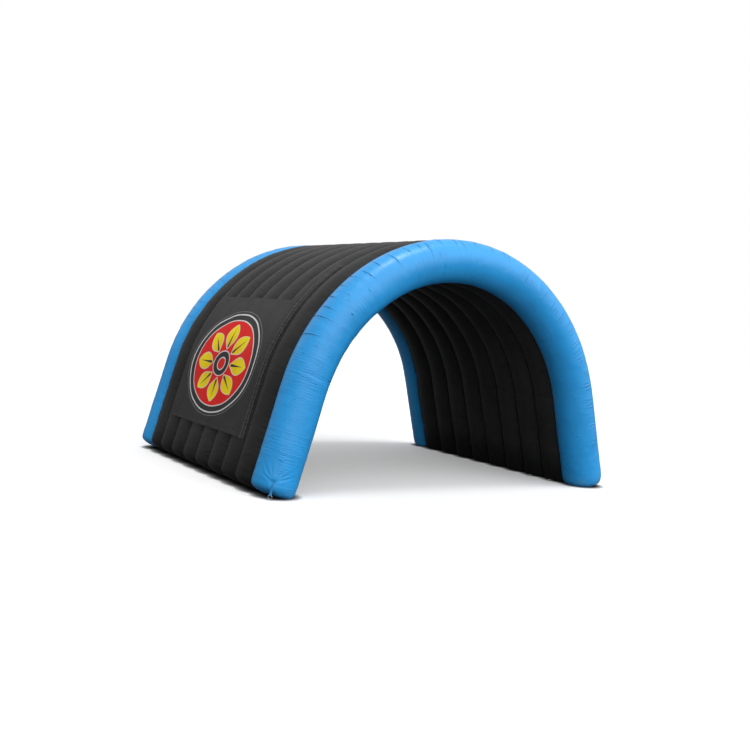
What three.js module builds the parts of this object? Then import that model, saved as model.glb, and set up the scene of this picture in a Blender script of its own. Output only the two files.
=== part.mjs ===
// Inflatable tunnel: two round tube arches with eight arched ribs side by side between them,
// a banner sheet on the left flank and small anchor fittings at the feet.
// Millimetres. X is across the tunnel, Y runs from its front to its back and Z is up.
// The origin is on the ground at the middle of the footprint.

import * as THREE from "three";
import { mergeVertices } from "three/addons/utils/BufferGeometryUtils.js";

const radians = THREE.MathUtils.degToRad;

// Arch line, the centre line of every tube and rib
const FOOT_SPAN = 4620;
const LEG_LEAN = radians(15);
const LEG_HEIGHT = 1150;
const ARC_STRETCH = 1.04;
const ARC_STEPS = 18;

// Tubes and ribs
const ARCH_SPACING = 3500;
const TUBE_RADIUS = 255;
const SEAM_ANGLE = radians(42);
const SEAM_STEPS = 4;
const FREE_STEPS = 12;
const RIB_COUNT = 8;
const RIB_STEPS = 6;
const INNER_VALLEY = 172;
const OUTER_VALLEY = 212;
const CREST_OFFSET = 252;
const CLOTH_GAP = 0.4;

// Foot of a leg, one row for each cross-section from the ground up. The inner and outer edges
// are distances from the foot of the centre line, and the depths are parts of the full depth.
const FOOT_SECTIONS = [
  { inner: -220, innerZ: 0, outer: -20, outerZ: 0, tubeDepth: 0.7, ribDepth: 0.8 },
  { inner: -262, innerZ: 32, outer: 130, outerZ: 58, tubeDepth: 0.9, ribDepth: 0.93 },
  { inner: -281, innerZ: 75, outer: 214, outerZ: 138, tubeDepth: 0.985, ribDepth: 0.99 },
];
// The right feet are squarer. The left ones are drawn in.
const RIGHT_FOOT_SECTIONS = [
  { inner: -220, innerZ: 0, outer: 95, outerZ: 0, tubeDepth: 0.7, ribDepth: 0.8 },
  { inner: -262, innerZ: 32, outer: 176, outerZ: 40, tubeDepth: 0.9, ribDepth: 0.93 },
  { inner: -281, innerZ: 75, outer: 214, outerZ: 112, tubeDepth: 0.985, ribDepth: 0.99 },
];
const FIRST_SQUARE = 170;

// Banner and its tape, on the left flank. Heights are measured along the arch line.
const BANNER_BOTTOM = 500;
const BANNER_ARC_STEPS = 3;
const BANNER_THICKNESS = 2.5;
const BANNER_SAG = 6;
const BANNER_EDGE = 1080;
const TAPE_ARC_STEPS = 5;
const TAPE_WIDTH = 64;
const TAPE_THICKNESS = 2;
const TAPE_CLEARANCE = 3;

// Anchor ring in a webbing loop at the foot of the front left leg
const RING_RADIUS = 22;
const RING_WIRE = 3;
const RING_SIDES = 24;
const WIRE_SIDES = 10;
const STRAP_WIDTH = 25;
const STRAP_PLY = 2.5;
const STRAP_TOP = 50;
const LOOP_DROP = 74;
const LOOP_SLOT = 6.8;
const LOOP_SLOT_HEIGHT = 12;
const RING_FLAT = SEAM_STEPS + 7;

// Triangular webbing tabs on the ground inside the right wall
const TAB_WIDTH = 90;
const TAB_REACH = 80;
const TAB_THICKNESS = 2.5;
const TAB_NOSE = 14;
const TAB_HOLE = 7;
const TAB_ROOT = 2.5;

// Worked-out sizes
const legTop = FOOT_SPAN / 2 - LEG_HEIGHT * Math.tan(LEG_LEAN);
const arcWidth = legTop / Math.cos(LEG_LEAN);
const arcRise = arcWidth * ARC_STRETCH;
const arcBase = LEG_HEIGHT - arcRise * Math.sin(LEG_LEAN);
const legLength = LEG_HEIGHT / Math.cos(LEG_LEAN);
const seamY = ARCH_SPACING / 2 - TUBE_RADIUS * Math.sin(SEAM_ANGLE);
const seamOffset = TUBE_RADIUS * Math.cos(SEAM_ANGLE);
const ribPitch = (2 * seamY) / RIB_COUNT;

const fabric = (color) => new THREE.MeshStandardMaterial({ color, roughness: 0.45, metalness: 0 });
const blueFabric = () => fabric(0x2b8cd6);
const blackFabric = () => fabric(0x262626);
const bannerFabric = () => fabric(0x2e2e2e);
const paleWebbing = () => fabric(0xb9bcc0);
const darkWebbing = () => fabric(0x1d1f22);
const steel = () => new THREE.MeshStandardMaterial({ color: 0xc4c7ca, roughness: 0.3, metalness: 1 });

// A section is a plane across the arch. A point at an outward offset n and at y lies at
// x + n * nx and z + n * nz, with its y drawn in by a depth factor.
function squareSection(x, z, angle, stretch = 1) {
  return { x, z, nx: Math.cos(angle) * stretch, nz: Math.sin(angle) * stretch, tubeDepth: 1, ribDepth: 1 };
}

function footSection(row) {
  const reach = (row.inner + row.outer) / 2;
  return {
    x: -(FOOT_SPAN / 2 + reach),
    z: (row.innerZ + row.outerZ) / 2,
    nx: -(row.outer - row.inner) / 2 / TUBE_RADIUS,
    nz: (row.outerZ - row.innerZ) / 2 / TUBE_RADIUS,
    tubeDepth: row.tubeDepth,
    ribDepth: row.ribDepth,
  };
}

function legSection(distance) {
  const x = -(FOOT_SPAN / 2 - distance * Math.sin(LEG_LEAN));
  return squareSection(x, distance * Math.cos(LEG_LEAN), Math.PI - LEG_LEAN);
}

function arcSection(step) {
  const turn = Math.PI - LEG_LEAN - (step / ARC_STEPS) * (Math.PI - 2 * LEG_LEAN);
  const x = arcWidth * Math.cos(turn);
  const z = arcBase + arcRise * Math.sin(turn);
  const outward = Math.atan2(arcWidth * Math.sin(turn), arcRise * Math.cos(turn));
  return squareSection(x, z, outward);
}

const mirrored = (section) => ({ ...section, x: -section.x, nx: -section.nx });

const legSections = [legSection(FIRST_SQUARE), legSection(BANNER_BOTTOM)];
const leftFoot = [...FOOT_SECTIONS.map(footSection), ...legSections];
const rightFoot = [...RIGHT_FOOT_SECTIONS.map(footSection), ...legSections];
const arc = Array.from({ length: ARC_STEPS + 1 }, (_, step) => arcSection(step));
const archSections = [...leftFoot, ...arc, ...rightFoot.map(mirrored).reverse()];
const kinkIndex = leftFoot.length;

// Joins one ring of points at each section into a closed body with flat ends.
// A ring's outline is listed counter-clockwise with y to the right and the offset n up.
function loft(sections, outlineAt) {
  const outlines = sections.map(outlineAt);
  const count = outlines[0].length;
  const positions = [];
  sections.forEach((section, ring) => {
    for (const point of outlines[ring]) {
      positions.push(section.x + point.n * section.nx, point.y, section.z + point.n * section.nz);
    }
  });
  const index = [];
  for (let ring = 0; ring + 1 < sections.length; ring += 1) {
    for (let side = 0; side < count; side += 1) {
      const a = ring * count + side;
      const b = ring * count + ((side + 1) % count);
      index.push(a, b, b + count, a, b + count, a + count);
    }
  }
  const last = (sections.length - 1) * count;
  for (const [a, b, c] of endTriangles(outlines[0])) {
    index.push(a, c, b);
  }
  for (const [a, b, c] of endTriangles(outlines[outlines.length - 1])) {
    index.push(last + a, last + b, last + c);
  }
  const geometry = new THREE.BufferGeometry();
  geometry.setAttribute("position", new THREE.Float32BufferAttribute(positions, 3));
  geometry.setIndex(index);
  return geometry;
}

function endTriangles(outline) {
  const points = outline.map((point) => new THREE.Vector2(point.y, point.n));
  return THREE.ShapeUtils.triangulateShape(points, []).map((face) => {
    const turnsLeft = THREE.ShapeUtils.area(face.map((corner) => points[corner])) > 0;
    return turnsLeft ? face : [face[0], face[2], face[1]];
  });
}

function mesh(name, geometry, material) {
  const piece = new THREE.Mesh(geometry, material);
  piece.name = name;
  return piece;
}

// Tubes. Angles run from straight outward towards the ribs, which lie on the inward side.
function tubeAngles() {
  const span = Math.PI - 2 * SEAM_ANGLE;
  const facing = Array.from({ length: SEAM_STEPS }, (_, i) => SEAM_ANGLE + (i / SEAM_STEPS) * span);
  const rest = 2 * Math.PI - span;
  const free = Array.from({ length: FREE_STEPS }, (_, i) => SEAM_ANGLE + span + (i / FREE_STEPS) * rest);
  return [...facing, ...free];
}

function archTube(name, centreY, inward) {
  const angles = inward > 0 ? tubeAngles().reverse() : tubeAngles();
  const outlineAt = (section) => angles.map((angle) => ({
    y: centreY + inward * TUBE_RADIUS * Math.sin(angle) * section.tubeDepth,
    n: TUBE_RADIUS * Math.cos(angle),
  }));
  return mesh(name, loft(archSections, outlineAt), blueFabric());
}

// Ribs. Each is a chamber with a round back and front between two valley seams.
function crestPoints(from, to) {
  const half = (to.y - from.y) / 2;
  const rise = CREST_OFFSET - (from.n + to.n) / 2;
  const sweep = 2 * Math.atan(rise / Math.abs(half));
  return Array.from({ length: RIB_STEPS + 1 }, (_, step) => {
    const turn = ((2 * step) / RIB_STEPS - 1) * sweep;
    const along = (1 + Math.sin(turn) / Math.sin(sweep)) / 2;
    const bulge = (Math.cos(turn) - Math.cos(sweep)) / (1 - Math.cos(sweep));
    return { y: from.y + 2 * half * along, n: from.n + (to.n - from.n) * along + rise * bulge };
  });
}

function ribEdges(number, valley) {
  const front = -seamY + (number - 1) * ribPitch;
  const frontSeam = number === 1;
  const backSeam = number === RIB_COUNT;
  return {
    from: { y: front + CLOTH_GAP / 2, n: frontSeam ? seamOffset : valley, seam: frontSeam },
    to: { y: front + ribPitch - CLOTH_GAP / 2, n: backSeam ? seamOffset : valley, seam: backSeam },
  };
}

// The hollow side of an end rib, which lies against its tube
function seamHollow(centreY, inward) {
  const span = Math.PI - 2 * SEAM_ANGLE;
  return Array.from({ length: SEAM_STEPS + 1 }, (_, step) => {
    const angle = SEAM_ANGLE + (step / SEAM_STEPS) * span;
    const radius = TUBE_RADIUS + CLOTH_GAP;
    return { y: centreY + inward * radius * Math.sin(angle), n: radius * Math.cos(angle) };
  });
}

function ribOutline(number) {
  const { from, to } = ribEdges(number, OUTER_VALLEY);
  const innerEdges = ribEdges(number, INNER_VALLEY);
  const inside = crestPoints(innerEdges.from, innerEdges.to).map(({ y, n }) => ({ y, n: -n }));
  const outside = crestPoints(from, to).reverse();
  if (from.seam) {
    const hollow = seamHollow(-ARCH_SPACING / 2, 1);
    return [...inside.slice(1), ...outside.slice(0, -1), ...hollow];
  }
  if (to.seam) {
    const hollow = seamHollow(ARCH_SPACING / 2, -1).reverse();
    return [...inside.slice(0, -1), ...hollow, ...outside.slice(1)];
  }
  return [...inside, ...outside];
}

function rib(number) {
  const outline = ribOutline(number);
  const middle = -seamY + (number - 0.5) * ribPitch;
  const outlineAt = (section) => outline.map((point) => ({
    y: middle + (point.y - middle) * section.ribDepth,
    n: point.n,
  }));
  return mesh(`rib_${number}`, loft(archSections, outlineAt), blackFabric());
}

// The outer side of one rib between two y positions, with the rib's own points between them
function ribLine(number, low, high) {
  const { from, to } = ribEdges(number, OUTER_VALLEY);
  const points = crestPoints(from, to);
  const surfaceAt = (y) => {
    const next = Math.max(1, points.findIndex((point) => point.y >= y));
    const [a, b] = [points[next - 1], points[next]];
    return { y, n: a.n + ((b.n - a.n) * (y - a.y)) / (b.y - a.y) };
  };
  const between = points.filter((point) => point.y > low + 1 && point.y < high - 1);
  return [surfaceAt(low), ...between, surfaceAt(high)];
}

// The banner is tight from crest to crest, and its front and back edges follow the ribs down.
function bannerInside() {
  const lastCrest = (RIB_COUNT / 2 - 1.5) * ribPitch;
  const taut = [];
  for (let crest = -lastCrest; crest < lastCrest - 1; crest += ribPitch) {
    for (const along of [0.25, 0.5, 0.75, 1]) {
      taut.push({ y: crest + along * ribPitch, n: CREST_OFFSET - BANNER_SAG * Math.sin(along * Math.PI) });
    }
  }
  const front = ribLine(2, -BANNER_EDGE, -lastCrest);
  const back = ribLine(RIB_COUNT - 1, lastCrest, BANNER_EDGE);
  return [...front, ...taut.slice(0, -1), ...back];
}

// A sheet of even thickness laid on a line of points that run along +y
function sheetOutline(points, gap, thickness) {
  const under = points.map((point) => ({ y: point.y, n: point.n + gap }));
  const over = [...points].reverse().map((point) => ({ y: point.y, n: point.n + gap + thickness }));
  return [...under, ...over];
}

function sideBanner() {
  const outline = sheetOutline(bannerInside(), CLOTH_GAP, BANNER_THICKNESS);
  const sections = archSections.slice(kinkIndex - 1, kinkIndex + BANNER_ARC_STEPS + 1);
  return mesh("side_banner", loft(sections, () => outline), bannerFabric());
}

// The tape starts level with the banner's bottom edge and ends above its top edge.
function bannerEdgeTape() {
  const near = -BANNER_EDGE - TAPE_CLEARANCE;
  const outline = sheetOutline(ribLine(2, near - TAPE_WIDTH, near), CLOTH_GAP, TAPE_THICKNESS);
  const sections = archSections.slice(kinkIndex - 1, kinkIndex + TAPE_ARC_STEPS + 1);
  return mesh("banner_edge_tape", loft(sections, () => outline), darkWebbing());
}

// The ring and its strap lie on one flat of the tube, in a frame with its axes outward from
// that flat, up along it and across it.
function footFrame() {
  const corner = (section, angle) => {
    const n = TUBE_RADIUS * Math.cos(angle);
    const y = -ARCH_SPACING / 2 + TUBE_RADIUS * Math.sin(angle) * section.tubeDepth;
    return new THREE.Vector3(section.x + n * section.nx, y, section.z + n * section.nz);
  };
  const [left, right] = tubeAngles().slice(RING_FLAT, RING_FLAT + 2);
  const [low, high] = archSections.slice(FOOT_SECTIONS.length - 1, FOOT_SECTIONS.length + 1);
  const origin = corner(low, left).lerp(corner(low, right), 0.5);
  const up = corner(high, left).lerp(corner(high, right), 0.5).sub(origin).normalize();
  const chord = corner(low, right).sub(corner(low, left));
  const outward = new THREE.Vector3().crossVectors(up, chord).normalize();
  const across = new THREE.Vector3().crossVectors(outward, up);
  return new THREE.Matrix4().makeBasis(outward, up, across).setPosition(origin);
}

function ringStrap() {
  const inner = CLOTH_GAP;
  const outer = inner + 2 * STRAP_PLY;
  const middle = (inner + outer) / 2;
  const loop = LOOP_SLOT / 2 + STRAP_PLY;
  const low = -LOOP_DROP - LOOP_SLOT_HEIGHT / 2 + LOOP_SLOT / 2;
  const high = -LOOP_DROP + LOOP_SLOT_HEIGHT / 2 - LOOP_SLOT / 2;
  const neck = Math.acos(STRAP_PLY / loop);
  const shape = new THREE.Shape();
  shape.moveTo(outer, STRAP_TOP);
  shape.lineTo(inner, STRAP_TOP);
  shape.absarc(middle, high, loop, Math.PI - neck, Math.PI, false);
  shape.absarc(middle, low, loop, Math.PI, 2 * Math.PI, false);
  shape.absarc(middle, high, loop, 0, neck, false);
  const slot = new THREE.Path();
  slot.absarc(middle, high, LOOP_SLOT / 2, 0, Math.PI, false);
  slot.absarc(middle, low, LOOP_SLOT / 2, Math.PI, 2 * Math.PI, false);
  shape.holes.push(slot);
  const options = { depth: STRAP_WIDTH, bevelEnabled: false, curveSegments: 6 };
  const geometry = new THREE.ExtrudeGeometry(shape, options);
  geometry.translate(0, 0, -STRAP_WIDTH / 2);
  return mesh("ring_strap", geometry, blueFabric());
}

function anchorRing() {
  const wire = Array.from({ length: WIRE_SIDES + 1 }, (_, step) => {
    const turn = (step / WIRE_SIDES) * 2 * Math.PI;
    return new THREE.Vector2(RING_RADIUS + RING_WIRE * Math.cos(turn), RING_WIRE * Math.sin(turn));
  });
  const geometry = new THREE.LatheGeometry(wire, RING_SIDES);
  geometry.rotateZ(Math.PI / 2);
  const topWire = -LOOP_DROP + LOOP_SLOT_HEIGHT / 2 - RING_WIRE - CLOTH_GAP;
  geometry.translate(CLOTH_GAP + STRAP_PLY, topWire - RING_RADIUS, 0);
  return mesh("anchor_ring", geometry, steel());
}

// The tabs lie under the right wall's inner edge, in the middle of the first two ribs.
function anchorTab(number) {
  const shape = new THREE.Shape();
  shape.moveTo(0, -TAB_WIDTH / 2);
  shape.lineTo(0, TAB_WIDTH / 2);
  const slope = Math.atan2(TAB_WIDTH / 2 - TAB_NOSE, TAB_REACH);
  shape.absarc(-TAB_REACH + TAB_NOSE, 0, TAB_NOSE, Math.PI / 2 + slope, 1.5 * Math.PI - slope, false);
  const hole = new THREE.Path();
  hole.absarc(-TAB_REACH + TAB_NOSE + TAB_HOLE / 2, 0, TAB_HOLE, 0, 2 * Math.PI, true);
  shape.holes.push(hole);
  const options = { depth: TAB_THICKNESS, bevelEnabled: false, curveSegments: 8 };
  const geometry = new THREE.ExtrudeGeometry(shape, options);
  const tab = mesh(`anchor_tab_${number}`, geometry, paleWebbing());
  const contactEdge = FOOT_SPAN / 2 + RIGHT_FOOT_SECTIONS[0].inner;
  tab.position.set(contactEdge - TAB_ROOT, -seamY + (number - 0.5) * ribPitch, 0);
  return tab;
}

// Geometry classes repeat the points along their edges, and a closed body shares them.
function sharePoints(piece) {
  const geometry = piece.geometry;
  geometry.deleteAttribute("normal");
  geometry.deleteAttribute("uv");
  piece.geometry = mergeVertices(geometry, 1e-4);
  return piece;
}

function anchorFitting() {
  const fitting = new THREE.Group();
  fitting.add(ringStrap(), anchorRing());
  fitting.applyMatrix4(footFrame());
  return fitting;
}

const tunnel = new THREE.Group();
tunnel.add(archTube("front_arch_tube", -ARCH_SPACING / 2, 1));
tunnel.add(archTube("back_arch_tube", ARCH_SPACING / 2, -1));
for (let number = 1; number <= RIB_COUNT; number += 1) {
  tunnel.add(rib(number));
}
tunnel.add(sideBanner(), bannerEdgeTape(), anchorFitting(), anchorTab(1), anchorTab(2));
tunnel.traverse((piece) => {
  if (piece.isMesh) {
    sharePoints(piece);
  }
});

export default tunnel;
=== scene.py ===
import math

import bpy
import numpy as np
from bpy.props import FloatProperty, FloatVectorProperty, IntProperty, PointerProperty
from mathutils import Matrix, Vector


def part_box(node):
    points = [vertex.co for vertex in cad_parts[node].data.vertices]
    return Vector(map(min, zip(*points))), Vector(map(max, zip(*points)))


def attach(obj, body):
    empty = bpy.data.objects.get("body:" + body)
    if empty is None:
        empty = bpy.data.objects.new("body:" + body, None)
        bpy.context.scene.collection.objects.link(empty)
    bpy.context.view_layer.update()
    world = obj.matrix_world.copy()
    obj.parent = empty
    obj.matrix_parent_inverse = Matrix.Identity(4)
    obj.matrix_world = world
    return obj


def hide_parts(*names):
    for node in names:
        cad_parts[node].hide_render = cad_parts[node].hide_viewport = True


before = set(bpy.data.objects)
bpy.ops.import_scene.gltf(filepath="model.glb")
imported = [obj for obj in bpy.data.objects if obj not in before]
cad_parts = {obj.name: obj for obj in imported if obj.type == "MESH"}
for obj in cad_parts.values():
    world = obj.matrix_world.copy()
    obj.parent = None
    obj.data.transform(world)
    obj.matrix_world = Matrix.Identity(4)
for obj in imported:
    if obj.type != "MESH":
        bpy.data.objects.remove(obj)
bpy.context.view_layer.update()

bl_info = {
    "name": "Inflatable Tunnel",
    "version": (1, 0, 0),
    "blender": (4, 5, 0),
    "location": "3D View > Sidebar > Tunnel",
    "description": "Builds the cloth, seams, banner and fittings of an inflatable tunnel",
    "category": "Object",
}

RIB_NAMES = sorted(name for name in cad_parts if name.startswith("rib_"))


def middle(node, axis):
    """Middle of a node's box along one axis"""
    low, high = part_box(node)
    return (low[axis] + high[axis]) / 2


def breadth(node, axis):
    """Size of a node's box along one axis"""
    low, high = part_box(node)
    return high[axis] - low[axis]


# ---------------------------------------------------------------- settings


def size(name, description, default, **more):
    return FloatProperty(name=name, description=description, default=default, unit="LENGTH", **more)


def angle(name, description, degrees):
    return FloatProperty(
        name=name, description=description, default=math.radians(degrees), subtype="ANGLE"
    )


def colour(name, description, default):
    return FloatVectorProperty(
        name=name, description=description, default=default, size=3, min=0, max=1, subtype="COLOR"
    )


def share(name, description, default, most=1.0):
    return FloatProperty(
        name=name, description=description, default=default, min=0, max=most, subtype="FACTOR"
    )


class TunnelSizes(bpy.types.PropertyGroup):
    """Sizes of the arches, the ribs and what is sewn on them"""

    tube_radius: size("Tube radius", "Radius of both end tubes", breadth("front_arch_tube", 1) / 2)
    foot_span: size("Foot span", "Distance between the middles of the two feet", 4.62)
    leg_lean: angle("Leg lean", "How far the straight legs lean inwards", 15)
    leg_height: size("Leg height", "Height at which a leg turns into the arc", 1.15)
    arc_stretch: FloatProperty(
        name="Arc stretch", description="Height of the arc's ellipse over its width", default=1.04
    )
    seam_angle: angle("Seam angle", "Where the ribs are sewn to a tube, from straight outwards", 42)
    crest: size("Crest", "Height of a rib's crest above the arch line", 0.252)
    outer_valley: size("Outer valley", "Ribs' seams from the arch line, outside", 0.212)
    inner_valley: size("Inner valley", "Ribs' seams from the arch line, inside", 0.172)
    banner_bottom: size("Banner bottom", "Distance up the leg to the banner's hem", 0.5)
    banner_top: size("Banner top", "Distance up the arch to the banner's top edge", 2.13)
    tape_top: size("Tape top", "Distance up the arch to the end of the tape", 2.74)
    hem: size("Hem", "Width of the banner's hems", 0.035)
    ply: size("Cloth thickness", "Thickness of the banner's cloth", 0.0025)


class TunnelFolds(bpy.types.PropertyGroup):
    """How creased the cloth is"""

    tube_fold: share("Tube folds", "Depth of the creases across the end tubes", 1.0, 3.0)
    rib_fold: share("Rib folds", "Depth of the creases across the ribs", 1.0, 3.0)
    seam_pucker: share("Seam puckers", "Depth of the puckers along the seams", 1.0, 3.0)
    banner_fold: share("Banner folds", "Depth of the banner's tension lines", 1.0, 3.0)
    seed: IntProperty(name="Seed", description="Seed for the places of the creases", default=11)


class TunnelColours(bpy.types.PropertyGroup):
    """Colours of the cloth, webbing and metal"""

    blue: colour("Blue", "Coated cloth of the end tubes", (0.015, 0.352, 0.83))
    black: colour("Black", "Coated cloth of the ribs", (0.0260, 0.0260, 0.0263))
    banner: colour("Banner", "Plain cloth of the banner", (0.0380, 0.0380, 0.0385))
    yellow: colour("Yellow", "Petals of the emblem", (0.98, 0.82, 0.0))
    red: colour("Red", "Field of the emblem", (0.82, 0.012, 0.008))
    white: colour("White", "Lines of the emblem", (0.72, 0.72, 0.72))
    grey: colour("Grey", "Outermost line of the emblem", (0.22, 0.22, 0.22))
    tape: colour("Tape", "Webbing tape on the banner's edge", (0.036, 0.036, 0.037))
    tab: colour("Tab", "Webbing of the ground tabs", (0.62, 0.64, 0.66))
    metal: colour("Metal", "Anchor ring", (0.86, 0.87, 0.89))


class TunnelStage(bpy.types.PropertyGroup):
    """Floor, light and camera"""

    floor: colour("Floor", "Floor colour", (0.83, 0.83, 0.83))
    floor_glow: share("Floor glow", "Light of its own that lifts the floor's shadows", 0.2)
    floor_radius: size("Floor radius", "Radius of the round floor", 70.0)
    horizon: share("Horizon", "Strength of the light from the horizon", 0.66, 5.0)
    overhead: share("Overhead", "Strength that the sky gains up to overhead", 0.12, 5.0)
    front: share("Front", "Strength that the sky gains towards the front", 1.32, 5.0)
    banner_side: share("Banner side", "Part of the horizon's light on the banner's side", 0.55)
    mirrored: share("Mirrored horizon", "Part of the horizon's light in reflections", 0.25)
    sun: share("Sun", "Strength of the broad light from above", 0.85, 20.0)
    sun_size: angle("Sun size", "Width of the light from above", 14)
    lens: FloatProperty(name="Lens", description="Focal length in millimetres", default=47.928)


# ---------------------------------------------------------------- arch line

# Feet, one row for each cross-section from the ground up: the inner edge's distance outwards
# from the middle of the foot and its height, the same for the outer edge, and the parts of
# their full depth that the tube and the ribs have there.
FOOT_ROWS = (
    (-0.232, 0.0, -0.02, 0.0, 0.72, 0.95),
    (-0.264, 0.032, 0.130, 0.058, 0.9, 0.98),
    (-0.281, 0.075, 0.214, 0.138, 0.985, 1.0),
)
# The right feet are squarer. The left ones are drawn in.
RIGHT_FOOT_ROWS = (
    (-0.232, 0.0, 0.095, 0.0, 0.72, 0.95),
    (-0.264, 0.032, 0.176, 0.040, 0.9, 0.98),
    (-0.281, 0.075, 0.214, 0.112, 0.985, 1.0),
)
# Distances up the leg where its sections are square to it, above the feet's rows
SQUARE_SECTIONS = (0.17, 0.24, 0.34, 0.5)
ARC_TABLE = 2000


class ArchLine:
    """Line of the arches from the left foot over the crown to the right foot.
    A station has a middle (x, z) and a step outwards (x, z) for each metre of offset."""

    def __init__(self, sizes):
        self.radius = sizes.tube_radius
        self.foot = sizes.foot_span / 2
        self.lean = sizes.leg_lean
        self.leg = sizes.leg_height / math.cos(self.lean)
        top = self.foot - sizes.leg_height * math.tan(self.lean)
        self.wide = top / math.cos(self.lean)
        self.rise = self.wide * sizes.arc_stretch
        self.base = sizes.leg_height - self.rise * math.sin(self.lean)
        self.turns = np.linspace(math.pi - self.lean, math.pi / 2, ARC_TABLE)
        x, z = self.wide * np.cos(self.turns), self.rise * np.sin(self.turns)
        steps = np.hypot(np.diff(x), np.diff(z))
        self.run = self.leg + np.concatenate([[0], np.cumsum(steps)])
        self.crown = float(self.run[-1])
        self.feet = self.foot_table(FOOT_ROWS)
        self.right_feet = self.foot_table(RIGHT_FOOT_ROWS)

    def foot_table(self, foot_rows):
        """Distances along the arch at the foot's rows, with the edges and depths there"""
        rows = [list(row) for row in foot_rows]
        for row in rows:
            row[0], row[2] = -(self.foot + row[0]), -(self.foot + row[2])
        for along in SQUARE_SECTIONS:
            x, z, out_x, out_z = self.square(along)
            out_x, out_z = out_x * self.radius, out_z * self.radius
            rows.append([x - out_x, z - out_z, x + out_x, z + out_z, 1.0, 1.0])
        rows = np.array(rows)
        middles = np.stack([rows[:, 0] + rows[:, 2], rows[:, 1] + rows[:, 3]], 1) / 2
        gaps = np.linalg.norm(np.diff(middles, axis=0), axis=1)
        along = np.concatenate([[0], np.cumsum(gaps)])
        return along - along[len(foot_rows)] + SQUARE_SECTIONS[0], rows

    def square(self, along):
        """Station on the leg or the arc, at right angles to the line"""
        if along <= self.leg:
            x = -(self.foot - along * math.sin(self.lean))
            outward = math.pi - self.lean
            return x, along * math.cos(self.lean), math.cos(outward), math.sin(outward)
        turn = float(np.interp(along, self.run, self.turns))
        outward = math.atan2(self.wide * math.sin(turn), self.rise * math.cos(turn))
        return (
            self.wide * math.cos(turn),
            self.base + self.rise * math.sin(turn),
            math.cos(outward),
            math.sin(outward),
        )

    def left_station(self, along, feet=None):
        """Station on the left half: x, z, step x, step z, tube depth and rib depth"""
        knots, rows = feet or self.feet
        if along >= knots[-1]:
            return (*self.square(along), 1.0, 1.0)
        row = hermite(knots, rows, along)
        x, z = (row[0] + row[2]) / 2, (row[1] + row[3]) / 2
        step_x, step_z = (row[2] - row[0]) / 2 / self.radius, (row[3] - row[1]) / 2 / self.radius
        return x, z, step_x, step_z, row[4], row[5]

    def half_stations(self, count, feet):
        """Rows of one half, from its foot to the crown"""
        spread = np.linspace(feet[0][0], self.crown, count)
        return np.array([(along, *self.left_station(along, feet)) for along in spread])

    def stations(self, left_count, right_count):
        """Rows of along, x, z, step x, step z, tube depth and rib depth from foot to foot"""
        left = self.half_stations(left_count, self.feet)
        right = self.half_stations(right_count, self.right_feet)[-2::-1]
        right[:, 0] = 2 * self.crown - right[:, 0]
        right[:, [1, 3]] *= -1
        return np.concatenate([left, right])


def hermite(knots, rows, at):
    """Smooth curve through the rows of a table"""
    slopes = np.gradient(rows, knots, axis=0)
    low = int(np.clip(np.searchsorted(knots, at) - 1, 0, len(knots) - 2))
    gap = knots[low + 1] - knots[low]
    t = (at - knots[low]) / gap
    start, end = rows[low], rows[low + 1]
    return (
        start * (2 * t**3 - 3 * t**2 + 1)
        + end * (3 * t**2 - 2 * t**3)
        + slopes[low] * gap * (t**3 - 2 * t**2 + t)
        + slopes[low + 1] * gap * (t**3 - t**2)
    )


def place(stations, y, offset):
    """Points of a surface from its y and its outward offset at each station and column"""
    x = stations[:, 1, None] + offset * stations[:, 3, None]
    z = stations[:, 2, None] + offset * stations[:, 4, None]
    return np.stack([x, np.broadcast_to(y, x.shape), z], -1)


# ---------------------------------------------------------------- folds


def soft_noise(rng, along, around, cell_along, cell_around, closed=0.0):
    """Smooth random heights over a grid, from -1 to 1. closed is the way round a tube."""
    u = (along - along.min()) / cell_along
    v = (around - around.min()) / cell_around
    rows = int(u.max()) + 3
    columns = max(2, round(closed / cell_around)) if closed else int(v.max()) + 3
    if closed:
        v = v * columns / (closed / cell_around)
    lattice = rng.uniform(-1, 1, (rows, columns))
    i, j = np.floor(u).astype(int), np.floor(v).astype(int)
    a, b = u - i, v - j
    a, b = (a * a * (3 - 2 * a))[:, None], (b * b * (3 - 2 * b))[None, :]
    j, k = j % columns, (j + 1) % columns
    low = lattice[i][:, j] * (1 - b) + lattice[i][:, k] * b
    high = lattice[i + 1][:, j] * (1 - b) + lattice[i + 1][:, k] * b
    return low * (1 - a) + high * a


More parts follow.
